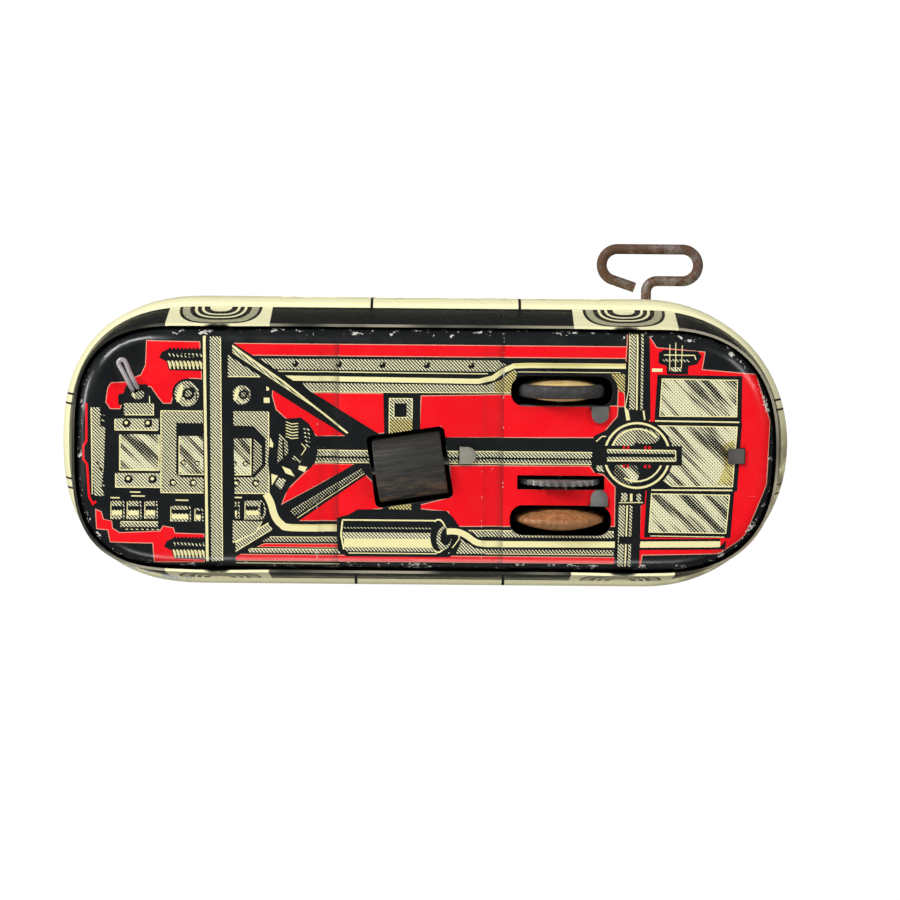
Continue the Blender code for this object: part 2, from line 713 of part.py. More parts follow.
def saw_teeth(teeth, radius, depth):
    """The edge of a ratchet: each tooth rises slowly and drops steeply."""
    found = []
    for k in range(teeth):
        start = 2 * math.pi * k / teeth
        tip = start + 2 * math.pi * 0.85 / teeth
        root = radius - depth
        found.append((root * math.cos(start), root * math.sin(start)))
        found.append((radius * math.cos(tip), radius * math.sin(tip)))
    return found


CLICK_RIVET = 1.2 * MM
CLICK_PIVOT = Vector((6.3 * MM, 0))
CLICK_NOSE = Vector((2.75 * MM, 2.45 * MM))
WINDOW_ANGLES = [math.radians(a) for a in (90, 150, 210, 270)]


def build_ratchet():
    hole = circle((0, 0), KEY_WIRE / 2 + PIN_GAP, 16)
    edge = saw_teeth(RATCHET_TEETH, RATCHET_RADIUS, 0.7 * MM)
    gear("ratchet_wheel", [edge, hole], RATCHET_PLANE, RATCHET_DEPTH, ARBOR, STEEL)
    back = CLICK_PIVOT - CLICK_NOSE
    angle = math.atan2(back.y, back.x)
    across = Vector((-math.sin(angle), math.cos(angle)))
    tip = 0.22 * MM
    low, high = CLICK_NOSE - CLICK_PIVOT - tip * across, CLICK_NOSE - CLICK_PIVOT + tip * across
    eye = arc((0, 0), CLICK_RIVET / 2 + 0.6 * MM, angle - 1.9, angle + 1.9, 10)
    edge = [(low.x, low.y), *eye, (high.x, high.y)]
    hole = circle((0, 0), CLICK_RIVET / 2 + PIN_GAP, 12)
    gear("click", [edge, hole], RATCHET_PLANE, RATCHET_DEPTH, ARBOR + CLICK_PIVOT, STEEL)
    low_y = GREAT_PLANE - GEAR_THICKNESS / 2 - EDGE_GAP
    high_y = RATCHET_PLANE + RATCHET_DEPTH / 2 + EDGE_GAP
    rod("click_rivet", CLICK_RIVET / 2, low_y, high_y, ARBOR + CLICK_PIVOT, STEEL, 12)


def build_mainspring():
    """A flat spiral strip round the winding arbor, drawn at half wind."""
    outer, inner = [], []
    steps = SPRING_TURNS * 20
    for k in range(steps + 1):
        angle = 2 * math.pi * SPRING_TURNS * k / steps + math.radians(150)
        radius = SPRING_INNER + (SPRING_OUTER - SPRING_INNER) * k / steps
        outer.append(((radius + SPRING_STRIP) * math.cos(angle), (radius + SPRING_STRIP) * math.sin(angle)))
        inner.append((radius * math.cos(angle), radius * math.sin(angle)))
    edge = outer + list(reversed(inner))
    gear("mainspring", [edge], SPRING_PLANE, SPRING_WIDTH, ARBOR, STEEL)


def build_verge():
    """The rocking anchor: an arm on each side of its pin, bent round the escape wheel."""
    inner = ESCAPE_RADIUS + VERGE_CLEARANCE
    start, end = VERGE_ANGLE - math.radians(44), VERGE_ANGLE + math.radians(44)
    eye = math.radians(11)
    to_pin = ESCAPE - VERGE
    edge = arc(to_pin, inner, end, start, 10)
    edge += arc(to_pin, inner + 0.9 * MM, start, VERGE_ANGLE - eye, 4)
    edge += arc((0, 0), 1.1 * MM, VERGE_ANGLE - 1.2, VERGE_ANGLE + 1.2, 6)
    edge += arc(to_pin, inner + 0.9 * MM, VERGE_ANGLE + eye, end, 4)
    hole = circle((0, 0), ARBOR_DIAMETER / 2 + PIN_GAP, 12)
    gear("verge", [edge, hole], ESCAPE_PLANE, RATCHET_DEPTH, VERGE, BRASS)


def build_arbors():
    low_y = RIGHT_PLATE_Y - TIN - 0.35 * MM
    high_y = LEFT_PLATE_Y + TIN + 0.35 * MM
    places = {"intermediate_arbor": INTERMEDIATE, "escape_arbor": ESCAPE, "verge_arbor": VERGE}
    for name, centre in places.items():
        rod(name, ARBOR_DIAMETER / 2, low_y, high_y, centre, STEEL, 12)


def pillar_places():
    top = ARBOR + 10.6 * MM * Vector((math.cos(math.radians(150)), math.sin(math.radians(150))))
    foot = Vector((ARBOR.x - 7.4 * MM, PAN_TOP + 3.9 * MM))
    front = Vector((AXLE.x + 2.4 * MM, AXLE.y + 11.3 * MM))
    return {"spring_pillar": top, "rear_pillar": foot, "front_pillar": front}


def build_pillars():
    """Spacers between the motor plates, each with a thinner end riveted through a plate."""
    shoulder, tenon = PILLAR_DIAMETER / 2, PILLAR_DIAMETER / 2 - 0.3 * MM
    for name, centre in pillar_places().items():
        low, high = RIGHT_PLATE_Y + FIT_GAP, LEFT_PLATE_Y - FIT_GAP
        end_low, end_high = RIGHT_PLATE_Y - TIN - 0.3 * MM, LEFT_PLATE_Y + TIN + 0.3 * MM
        profile = [
            (0, end_high),
            (tenon, end_high),
            (tenon, high),
            (shoulder, high),
            (shoulder, low),
            (tenon, low),
            (tenon, end_low),
            (0, end_low),
        ]
        turned(name, profile, centre, STEEL, 12)


def strap_slots():
    """The tenon holes of the front strap in each motor plate: (low, high) corners in X and Z."""
    top = PAN_TOP + 6.2 * MM
    low = (STRAP_X - TIN / 2 - FIT_GAP, top - 2.2 * MM - FIT_GAP)
    return low, (STRAP_X + TIN / 2 + FIT_GAP, top + FIT_GAP)


def plate_outlines():
    reach = GREAT_TEETH * DRIVE_MODULE / 2 + GEAR_ADDENDUM * DRIVE_MODULE + MOTOR_PLATE_MARGIN
    floor = PAN_TOP + FIT_GAP
    front = STRAP_X + 1.3 * MM
    tab_centre = AXLE_X - TAB_BEHIND_AXLE
    tab_bottom = PAN_UNDERSIDE - FIT_GAP - 0.7 * TIN
    relief = 0.3 * MM
    edge = [
        (ARBOR.x - reach, floor + relief),
        (tab_centre - TAB_WIDTH / 2, floor),
        (tab_centre - TAB_WIDTH / 2, tab_bottom),
        (tab_centre + TAB_WIDTH / 2, tab_bottom),
        (tab_centre + TAB_WIDTH / 2, floor),
        (front, floor + relief),
        (front, floor + 9.4 * MM),
        (front - 2 * MM, floor + 11.4 * MM),
    ]
    edge += arc((ARBOR.x, ARBOR.y), reach, math.radians(35), math.pi, 16)
    holes = [
        circle((ARBOR.x, ARBOR.y), KEY_WIRE / 2 + PIN_GAP, 16),
        circle((AXLE.x, AXLE.y), AXLE_DIAMETER / 2 + PIN_GAP, 16),
    ]
    for centre in (INTERMEDIATE, ESCAPE, VERGE):
        holes.append(circle((centre.x, centre.y), ARBOR_DIAMETER / 2 + PIN_GAP, 12))
    for centre in pillar_places().values():
        holes.append(circle((centre.x, centre.y), PILLAR_DIAMETER / 2 - 0.3 * MM + PIN_GAP, 12))
    low, high = strap_slots()
    holes.append(rectangle(low, high))
    return [edge, *holes]


def build_motor_plate(name, inner_y, side):
    """A motor plate with a tab at its foot that goes through the pan and is bent inwards below it."""
    middle = inner_y + side * TIN / 2
    plate = flat_part(
        name,
        plate_outlines(),
        TIN,
        location=(0, middle, 0),
        rotation=UPRIGHT,
        material=BARE_TIN,
    )
    plate = as_mesh(plate)
    tab_centre = AXLE_X - TAB_BEHIND_AXLE
    round_end = TAB_WIDTH / 2 - 0.04 * MM
    start = inner_y + side * 0.8 * TIN
    end = start - side * (TAB_LENGTH - round_end)
    turn = 0 if side < 0 else math.pi
    tongue = [(tab_centre + side * round_end, start), (tab_centre - side * round_end, start)]
    tongue += arc((tab_centre, end), round_end, turn, turn + math.pi, 8)
    tab = flat_part(
        name + "_tongue",
        [tongue],
        TIN,
        location=(0, 0, PAN_UNDERSIDE - FIT_GAP - TIN / 2),
        helper=True,
    )
    modify(plate, as_mesh(tab), "UNION")
    return plate


def build_front_strap():
    """The cross-piece at the motor's front, with its two tenons and the tab bent under the pan."""
    half = MOTOR_INNER_WIDTH / 2 - FIT_GAP
    end = MOTOR_INNER_WIDTH / 2 + TIN + 0.4 * MM
    slot_low, slot_high = strap_slots()
    low, high = slot_low[1] + FIT_GAP, slot_high[1] - FIT_GAP
    foot, top = PAN_TOP + FIT_GAP, PAN_TOP + 8 * MM
    bottom = PAN_UNDERSIDE - FIT_GAP - TIN
    leg, taper = TAB_WIDTH / 2, 0.1 * MM
    edge = [
        (-leg, foot),
        (-leg, bottom + 0.3 * TIN),
        (leg, bottom + 0.3 * TIN),
        (leg, foot),
        (half, foot + 0.3 * MM),
        (half, low),
        (end, low + taper),
        (end, high - taper),
        (half, high),
        (half - 0.4 * MM, top),
        (0.4 * MM - half, top),
        (-half, high),
        (-end, high - taper),
        (-end, low + taper),
        (-half, low),
        (-half, foot + 0.3 * MM),
    ]
    strap = flat_part(
        "front_strap",
        [edge],
        TIN,
        location=(STRAP_X, MOTOR_OFFSET, 0),
        rotation=(math.pi / 2, 0, math.pi / 2),
        material=BARE_TIN,
    )
    strap = as_mesh(strap)
    round_end = leg - 0.04 * MM
    start = STRAP_X + 0.3 * TIN
    end_x = start - TAB_LENGTH + round_end
    tongue = [(start, MOTOR_OFFSET - round_end), (start, MOTOR_OFFSET + round_end)]
    tongue += arc((end_x, MOTOR_OFFSET), round_end, math.pi / 2, math.pi * 1.5, 8)
    tab = flat_part("strap_tongue", [tongue], TIN, location=(0, 0, bottom + TIN / 2), helper=True)
    modify(strap, as_mesh(tab), "UNION")
    return strap


def build_body_lug():
    """The body's rear lug: a bent strip from the tail wall down through the pan, its tongue bent forwards."""
    bottom = PAN_UNDERSIDE - FIT_GAP - TIN
    shelf = PAN_UNDERSIDE + 5.6 * MM
    wall_x = tail_wall(shelf) + TIN + EDGE_GAP
    front, back = LUG_X + TIN / 2, LUG_X - TIN / 2
    edge = [
        (front + LUG_TONGUE, bottom),
        (front + LUG_TONGUE, bottom + TIN),
        (front, bottom + TIN),
        (front, shelf + TIN),
        (wall_x + TIN, shelf + TIN),
        (wall_x + TIN, shelf + 3.4 * MM),
        (wall_x, shelf + 3.4 * MM),
        (wall_x, shelf),
        (back, shelf),
        (back, bottom),
    ]
    return flat_part(
        "rear_body_lug",
        [edge],
        LUG_WIDTH,
        location=(0, LUG_SIDE_OFFSET, 0),
        rotation=UPRIGHT,
        material=BARE_TIN,
    )


def tail_wall(height):
    """Where the outside of the body's tail is at this height."""
    contours = body_contours()
    for low, high in zip(contours, contours[1:]):
        if low[0] <= height <= high[0]:
            share = (height - low[0]) / (high[0] - low[0])
            return low[2] + share * (high[2] - low[2])
    return contours[0][2]


def build_axle_and_wheels():
    axle_low = RIGHT_WHEEL_Y - WHEEL_THICKNESS / 2 - 0.5 * MM
    axle_high = LEFT_WHEEL_Y + WHEEL_THICKNESS / 2 + 0.5 * MM
    rod("rear_axle", AXLE_DIAMETER / 2, axle_low, axle_high, AXLE, STEEL, 16, 0.2 * MM)
    radius, half = WHEEL_DIAMETER / 2, WHEEL_THICKNESS / 2
    bore = AXLE_DIAMETER / 2 + PIN_GAP
    seat = radius - TYRE_DEPTH
    flange = seat + 0.45 * MM
    groove = TYRE_WIDTH / 2 + FIT_GAP
    hub = [
        (bore, half),
        (flange * 0.55, half),
        (flange - 0.3 * MM, half - 0.25 * MM),
        (flange, groove + 0.1 * MM),
        (flange, groove),
        (seat, groove),
        (seat, -groove),
        (flange, -groove),
        (flange, -groove - 0.1 * MM),
        (flange - 0.3 * MM, -half + 0.25 * MM),
        (flange * 0.55, -half),
        (bore, -half),
    ]
    hub = [(r, y + LEFT_WHEEL_Y) for r, y in hub]
    turned("left_wheel", hub, AXLE, PALE_WOOD)
    tyre_half = TYRE_WIDTH / 2
    crown = 0.35 * MM
    tyre = [
        (seat + FIT_GAP, tyre_half),
        (radius - crown, tyre_half),
        (radius, tyre_half - crown),
        (radius, crown - tyre_half),
        (radius - crown, -tyre_half),
        (seat + FIT_GAP, -tyre_half),
    ]
    turned("tyre", [(r, y + LEFT_WHEEL_Y) for r, y in tyre], AXLE, RUBBER)
    lens = []
    steps = 10
    for k in range(steps + 1):
        angle = math.pi / 2 - math.pi * k / steps
        lens.append((radius * (0.72 + 0.28 * math.cos(angle) ** 0.9), half * math.sin(angle)))
    face = radius * 0.3
    profile = [(bore, half), (face, half), *lens[1:-1], (face, -half), (bore, -half)]
    turned("right_wheel", [(r, y + RIGHT_WHEEL_Y) for r, y in profile], AXLE, BROWN_WOOD)


def build_roller():
    """The wooden roller and the pin that it turns on, lying nearly along the car."""
    radius, half = ROLLER_DIAMETER / 2, ROLLER_LENGTH / 2
    bore = ROLLER_PIN_DIAMETER / 2 + PIN_GAP
    edge = 0.25 * MM
    profile = [
        (bore, half),
        (radius - edge, half),
        (radius, half - edge),
        (radius, edge - half),
        (radius - edge, -half),
        (bore, -half),
    ]
    along = ROLLER_ANGLE - math.pi / 2
    roller = turned("cross_roller", profile, (0, 0), BLACK_WOOD, 28, along)
    roller.location = (ROLLER_X, ROLLER_SIDE_OFFSET, ROLLER_Z)
    reach = roller_hole_size()[0] / 2 + TIN + 0.5 * MM
    pin_radius = ROLLER_PIN_DIAMETER / 2
    profile = [(0, reach), (pin_radius, reach), (pin_radius, -reach), (0, -reach)]
    pin = turned("roller_pin", profile, (0, 0), STEEL, 12, along)
    pin.location = roller.location


def build_winding_key():
    """One bent wire: the winding arbor through both motor plates, and the loop outside the body."""
    wire = KEY_WIRE / 2
    near = HALF_WIDTH + KEY_STAND_OFF + wire
    far = near + KEY_LOOP_HEIGHT - KEY_WIRE
    bend = (far - near) / 2
    middle = near + bend
    left = ARBOR.x + KEY_LOOP_LENGTH / 2 - KEY_LOOP_OFFSET - wire
    right = ARBOR.x - KEY_LOOP_LENGTH / 2 - KEY_LOOP_OFFSET + wire
    shoulder = 1.7 * MM
    plan = [(ARBOR.x, RIGHT_PLATE_Y - TIN - 0.35 * MM), (ARBOR.x, near - shoulder)]
    plan += arc((ARBOR.x - shoulder, near - shoulder), shoulder, 0, math.pi / 2, 5)[1:]
    plan += arc((right + bend, middle), bend, -math.pi / 2, -math.pi * 1.5, 10)
    plan += arc((left - bend, middle), bend, math.pi / 2, math.radians(-68), 10)
    plan.append((ARBOR.x + KEY_WIRE + 0.25 * MM, near - 1.05 * MM))
    points = [(x - ARBOR.x, y, 0) for x, y in plan]
    key = wire_part(
        "winding_key",
        points,
        KEY_WIRE,
        sides=2,
        location=(ARBOR.x, 0, ARBOR.y),
        material=RUSTED,
    )
    return key


def build_skid_pin():
    """A split pin pushed up through the pan, its round head on the floor and its legs spread inside."""
    direction = Vector((math.cos(SKID_DIRECTION), math.sin(SKID_DIRECTION), 0))
    across = Vector((-direction.y, direction.x, 0))
    wire = SKID_WIRE / 2
    hole = Vector((SKID_X, SKID_SIDE_OFFSET, 0))
    leg = wire + 0.06 * MM
    stations = [
        (-0.9 * MM, PAN_TOP + wire + 0.25 * MM, 2.6 * MM),
        (-0.7 * MM, PAN_TOP + wire + 0.3 * MM, leg + 0.5 * MM),
        (-0.25 * MM, PAN_TOP + 0.35 * MM, leg),
        (0.2 * MM, PAN_UNDERSIDE - 0.1 * MM, leg),
        (SKID_REACH * 0.55, 1.3 * MM, leg + 0.08 * MM),
        (SKID_REACH * 0.8, 0.6 * MM, leg + 0.2 * MM),
    ]
    right = [hole + direction * a - across * s + Vector((0, 0, z)) for a, z, s in stations]
    left = [hole + direction * a + across * s + Vector((0, 0, z)) for a, z, s in stations]
    head = hole + direction * SKID_REACH * 0.85
    tip = []
    for angle in (-60, -25, 0, 25, 60):
        turn = math.radians(angle)
        reach = (leg + 0.2 * MM) * math.sin(turn)
        ahead = SKID_REACH * 0.14 * math.cos(turn)
        tip.append(head + across * reach + direction * ahead + Vector((0, 0, wire + 0.02 * MM)))
    points = right + tip + list(reversed(left))
    return wire_part("skid_pin", points, SKID_WIRE, sides=1, material=BARE_TIN)


build_base_pan()
build_body_shell()
build_body_lug()
build_motor_plate("left_motor_plate", LEFT_PLATE_Y, 1)
build_motor_plate("right_motor_plate", RIGHT_PLATE_Y, -1)
build_front_strap()
build_pillars()
build_gears()
build_ratchet()
build_mainspring()
build_verge()
build_arbors()
build_axle_and_wheels()
build_roller()
build_winding_key()
build_skid_pin()
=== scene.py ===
import math
import bpy
import bmesh
import numpy as np
from mathutils import Matrix, Vector
from mathutils.geometry import delaunay_2d_cdt


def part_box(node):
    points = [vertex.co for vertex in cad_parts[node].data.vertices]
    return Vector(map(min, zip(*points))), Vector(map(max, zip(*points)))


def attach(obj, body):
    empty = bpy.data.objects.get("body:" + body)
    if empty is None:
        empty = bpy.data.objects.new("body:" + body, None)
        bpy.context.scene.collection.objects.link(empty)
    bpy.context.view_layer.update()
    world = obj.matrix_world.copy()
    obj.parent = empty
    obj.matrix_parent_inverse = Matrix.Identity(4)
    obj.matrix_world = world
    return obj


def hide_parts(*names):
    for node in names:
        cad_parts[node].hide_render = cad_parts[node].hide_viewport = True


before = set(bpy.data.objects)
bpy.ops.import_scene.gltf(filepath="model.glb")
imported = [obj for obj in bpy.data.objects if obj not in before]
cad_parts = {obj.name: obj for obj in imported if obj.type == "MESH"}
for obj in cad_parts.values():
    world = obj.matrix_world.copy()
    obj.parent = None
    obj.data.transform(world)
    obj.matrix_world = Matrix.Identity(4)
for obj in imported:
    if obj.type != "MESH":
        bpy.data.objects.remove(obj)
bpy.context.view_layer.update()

MM = 0.001
BODY_LOW, BODY_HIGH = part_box("body_shell")
PAN_LOW, PAN_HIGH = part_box("base_pan")
ROLLER_LOW, ROLLER_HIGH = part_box("cross_roller")
LEFT_LOW, LEFT_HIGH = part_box("left_wheel")
TYRE_LOW, TYRE_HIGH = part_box("tyre")
RIGHT_LOW, RIGHT_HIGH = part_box("right_wheel")
AXLE_LOW, AXLE_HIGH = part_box("rear_axle")
CENTRE_Y = (BODY_LOW.y + BODY_HIGH.y) / 2
TIN = 0.4
LINE_PITCH = 0.37

# ---------------------------------------------------------------- colours

RED = (0.86, 0.003, 0.010)
CREAM = (0.84, 0.775, 0.395)
SCREENED = (0.80, 0.775, 0.50)
BODY_CREAM = (0.93, 0.89, 0.55)
YELLOW = (0.70, 0.60, 0.22)
BLACK = (0.0075, 0.0095, 0.0105)
PINK = (0.72, 0.34, 0.24)

# An ink is (colour, share of black lines over it, strength of the painted streaks).
INKS = {
    "red": (RED, 0.0, 0.0),
    "black": (BLACK, 0.0, 0.0),
    "cream": (CREAM, 0.0, 0.0),
    "pink": (PINK, 0.0, 0.0),
    "yellow": (YELLOW, 0.0, 0.0),
    "pale": (SCREENED, 0.42, 0.0),
    "grey": (SCREENED, 0.52, 0.0),
    "deep": (SCREENED, 0.66, 0.0),
    "dim": (SCREENED, 0.80, 0.0),
    "amber": (YELLOW, 0.48, 0.0),
    "streak": (SCREENED, 0.40, 1.0),
    "gold": (YELLOW, 0.40, 1.0),
}


# ---------------------------------------------------------------- nodes

def node(tree, kind, inputs=None, **settings):
    made = tree.nodes.new("ShaderNode" + kind)
    for key, value in settings.items():
        setattr(made, key, value)
    for key, value in (inputs or {}).items():
        socket = made.inputs[key]
        if isinstance(value, bpy.types.NodeSocket):
            tree.links.new(value, socket)
        else:
            socket.default_value = value
    return made


def calc(tree, operation, a, b=0.0, c=0.0, clamp=False):
    made = tree.nodes.new("ShaderNodeMath")
    made.operation = operation
    made.use_clamp = clamp
    for socket, value in zip(made.inputs, (a, b, c)):
        if isinstance(value, bpy.types.NodeSocket):
            tree.links.new(value, socket)
        else:
            socket.default_value = value
    return made.outputs[0]


def times(tree, first, *others):
    for other in others:
        first = calc(tree, "MULTIPLY", first, other)
    return first


def plus(tree, a, b):
    return calc(tree, "ADD", a, b)


def minus(tree, a, b):
    return calc(tree, "SUBTRACT", a, b)


def apart(tree, a, b):
    """How far the two values lie from each other."""
    return calc(tree, "ABSOLUTE", minus(tree, a, b))


def millimetres(tree, place):
    """The place's x, y and z in millimetres."""
    return [times(tree, part, 1000.0) for part in node(tree, "SeparateXYZ", {"Vector": place}).outputs]


def distance_from(tree, place, spot):
    return node(tree, "VectorMath", {0: place, 1: spot}, operation="DISTANCE").outputs["Value"]


def blend_colours(tree, share, a, b):
    made = tree.nodes.new("ShaderNodeMix")
    made.data_type = "RGBA"
    for index, value in ((0, share), (6, a), (7, b)):
        if isinstance(value, bpy.types.NodeSocket):
            tree.links.new(value, made.inputs[index])
        elif index:
            made.inputs[index].default_value = (*value[:3], 1)
        else:
            made.inputs[index].default_value = value
    return made.outputs[2]


def ramp(tree, value, low, high, from_value=0.0, to_value=1.0):
    """The value's smooth rise from from_value at low to to_value at high."""
    inputs = {"Value": value, "From Min": low, "From Max": high, "To Min": from_value, "To Max": to_value}
    return node(tree, "MapRange", inputs, interpolation_type="SMOOTHSTEP").outputs[0]


def new_group(name, inputs, outputs):
    tree = bpy.data.node_groups.new(name, "ShaderNodeTree")
    for title, kind, default in inputs:
        socket = tree.interface.new_socket(name=title, in_out="INPUT", socket_type="NodeSocket" + kind)
        if default is not None:
            socket.default_value = default
    for title, kind in outputs:
        tree.interface.new_socket(name=title, in_out="OUTPUT", socket_type="NodeSocket" + kind)
    return tree, tree.nodes.new("NodeGroupInput").outputs, tree.nodes.new("NodeGroupOutput").inputs


def use_group(tree, group, **inputs):
    made = tree.nodes.new("ShaderNodeGroup")
    made.node_tree = group
    for key, value in inputs.items():
        socket = made.inputs[key.replace("_", " ")]
        if isinstance(value, bpy.types.NodeSocket):
            tree.links.new(value, socket)
        else:
            socket.default_value = value
    return made.outputs


def noise(tree, vector, scale, detail=2.0, roughness=0.5, distortion=0.0):
    inputs = {"Vector": vector, "Scale": scale, "Detail": detail, "Roughness": roughness}
    return node(tree, "TexNoise", {**inputs, "Distortion": distortion}).outputs[0]


def spread(tree, vector, along_x, along_y, along_z):
    """The vector with each axis multiplied, which stretches a pattern."""
    inputs = {"Vector": vector, "Scale": (along_x, along_y, along_z)}
    return node(tree, "Mapping", inputs).outputs[0]


def build_line_screen():
    """Black printed lines at 45 degrees, wider where the tone is deeper."""
    tree, give, take = new_group(
        "line_screen",
        [("Vector", "Vector", None), ("Tone", "Float", 0.5), ("Streak", "Float", 0.0),
         ("Pitch", "Float", LINE_PITCH)],
        [("Mask", "Float")],
    )
    link = tree.links.new
    parts = node(tree, "SeparateXYZ", {"Vector": give["Vector"]}).outputs
    diagonal = 707.1
    across = times(tree, minus(tree, parts[0], parts[1]), diagonal)
    along = times(tree, plus(tree, parts[0], parts[1]), diagonal)
    stretched = {"X": times(tree, across, 0.75), "Y": times(tree, along, 0.10), "Z": 0.0}
    streak_place = node(tree, "CombineXYZ", stretched).outputs[0]
    band = ramp(tree, noise(tree, streak_place, 1.0, 1.0), 0.38, 0.66, -0.20, 0.50)
    tone = plus(tree, give["Tone"], times(tree, band, give["Streak"]))
    turn_across = calc(tree, "DIVIDE", times(tree, across, math.tau), give["Pitch"])
    turn_along = calc(tree, "DIVIDE", times(tree, along, math.tau), give["Pitch"])
    wave = times(tree, calc(tree, "COSINE", turn_across), 0.38)
    wave = plus(tree, wave, times(tree, calc(tree, "COSINE", turn_along), 0.16))
    height = minus(tree, plus(tree, wave, tone), 0.5)
    inside = ramp(tree, height, -0.05, 0.05)
    printed = calc(tree, "GREATER_THAN", give["Tone"], 0.01)
    link(times(tree, inside, printed), take["Mask"])
    return tree


def build_enamel_wear():
    """Chips and fine scratches in enamel, and a slow unevenness for its gloss."""
    tree, give, take = new_group(
        "enamel_wear",
        [("Vector", "Vector", None), ("Chips", "Float", 0.5), ("Scratches", "Float", 0.5)],
        [("Bare", "Float"), ("Haze", "Float"), ("Height", "Float")],
    )
    link = tree.links.new
    place = give["Vector"]
    coarse = noise(tree, place, 420.0, 3.0, 0.65)
    fine = noise(tree, place, 1900.0, 2.0, 0.6)
    both = plus(tree, times(tree, coarse, 0.6), times(tree, fine, 0.4))
    limit = minus(tree, 0.76, times(tree, give["Chips"], 0.26))
    chips = ramp(tree, minus(tree, both, limit), 0.0, 0.03)
    long_marks = noise(tree, spread(tree, place, 90.0, 2600.0, 900.0), 1.0, 1.0)
    cross_marks = noise(tree, spread(tree, place, 2400.0, 150.0, 900.0), 1.0, 1.0)
    marks = calc(tree, "MAXIMUM", long_marks, minus(tree, cross_marks, 0.02))
    where = ramp(tree, noise(tree, place, 120.0, 2.0), 0.46, 0.62)
    edge = minus(tree, 0.86, times(tree, give["Scratches"], 0.16))
    scratches = times(tree, ramp(tree, minus(tree, marks, edge), 0.0, 0.04), where)
    link(calc(tree, "MAXIMUM", chips, scratches, clamp=True), take["Bare"])
    link(noise(tree, place, 260.0, 3.0, 0.6), take["Haze"])
    swell = noise(tree, place, 75.0, 1.0)
    link(minus(tree, swell, times(tree, chips, 0.03)), take["Height"])
    return tree


def build_wood_grain():
    """Lengthwise grain: long light and dark streaks, with pores between them."""
    tree, give, take = new_group(
        "wood_grain",
        [("Vector", "Vector", None), ("Strength", "Float", 1.0)],
        [("Streaks", "Float"), ("Pores", "Float")],
    )
    broad = noise(tree, give["Vector"], 1.0, 4.0, 0.6, 0.4)
    fine = noise(tree, give["Vector"], 3.7, 2.0, 0.7)
    both = plus(tree, times(tree, broad, 0.65), times(tree, fine, 0.35))
    streaks = times(tree, ramp(tree, both, 0.36, 0.66), give["Strength"])
    tree.links.new(streaks, take["Streaks"])
    tree.links.new(ramp(tree, fine, 0.60, 0.72), take["Pores"])
    return tree


def build_rust():
    """Blotches of rust, and the pitting under them."""
    tree, give, take = new_group(
        "rust",
        [("Vector", "Vector", None), ("Cover", "Float", 0.5)],
        [("Mask", "Float"), ("Pits", "Float")],
    )
    blotch = noise(tree, give["Vector"], 330.0, 5.0, 0.68)
    grit = noise(tree, give["Vector"], 2300.0, 3.0, 0.7)
    shift = minus(tree, 0.72, times(tree, give["Cover"], 0.44))
    both = plus(tree, times(tree, blotch, 0.75), times(tree, grit, 0.25))
    tree.links.new(ramp(tree, minus(tree, both, shift), -0.06, 0.08), take["Mask"])
    tree.links.new(grit, take["Pits"])
    return tree


ENAMEL_GLOSS = {"Coat_Weight": 0.15, "Coat_Roughness": 0.06, "Specular_IOR_Level": 0.32}
LINE_SCREEN = build_line_screen()
ENAMEL_WEAR = build_enamel_wear()
WOOD_GRAIN = build_wood_grain()
RUST = build_rust()


def new_material(name, **constants):
    """A material, its node tree, its shader's sockets, and its surface point in the toy's own frame."""
    made = bpy.data.materials.new(name)
    made.use_nodes = True
    tree = made.node_tree
    shader = tree.nodes["Principled BSDF"]
    for key, value in constants.items():
        shader.inputs[key.replace("_", " ")].default_value = value
    place = node(tree, "TexCoord").outputs["Object"]
    return made, tree, shader.inputs, place


def bump(tree, height, strength, distance, sockets):
    made = node(tree, "Bump", {"Height": height, "Strength": strength, "Distance": distance})
    tree.links.new(made.outputs[0], sockets["Normal"])


def make_printed_tin(name, chips_at):
    """Printed enamel whose ink is in the mesh; chips_at gives where it is chipped most."""
    made, tree, sockets, place = new_material(name, **ENAMEL_GLOSS)
    ink = node(tree, "Attribute", attribute_name="ink").outputs["Color"]
    tone = node(tree, "Attribute", attribute_name="tone").outputs["Fac"]
    streak = node(tree, "Attribute", attribute_name="streak").outputs["Fac"]
    lines = use_group(tree, LINE_SCREEN, Vector=place, Tone=tone, Streak=streak)["Mask"]
    printed = blend_colours(tree, lines, ink, BLACK)
    chips = chips_at(tree, place)
    wear = use_group(tree, ENAMEL_WEAR, Vector=place, Chips=chips, Scratches=0.34)
    fade = times(tree, wear["Haze"], 0.016)
    # Painted shade: the print darkens towards black in the two cross ribs, more on one side of each.
    shaded = blend_colours(tree, rib_painted_shade(tree, place), printed, BLACK)
    faded = blend_colours(tree, fade, shaded, (0.30, 0.27, 0.22))
    tree.links.new(blend_colours(tree, wear["Bare"], faded, (0.62, 0.60, 0.55)), sockets["Base Color"])
    rough = ramp(tree, wear["Haze"], 0.3, 0.75, 0.24, 0.38)
    tree.links.new(plus(tree, rough, times(tree, wear["Bare"], 0.2)), sockets["Roughness"])
    bump(tree, wear["Height"], 0.25, 0.0004, sockets)
    return made


def rib_painted_shade(tree, place):
    """Painted shade in the two cross ribs, heavier along one side of each."""
    x = millimetres(tree, place)[0]
    found = 0.0
    for rib in RIB_PLACES:
        side = ramp(tree, x, rib - RIB_HALF, rib - 0.2, 0.42, 0.0)
        near = band(tree, x, rib - RIB_HALF, rib + 1.5, 0.08)
        found = plus(tree, found, times(tree, near, plus(tree, side, 0.07)))
    return found


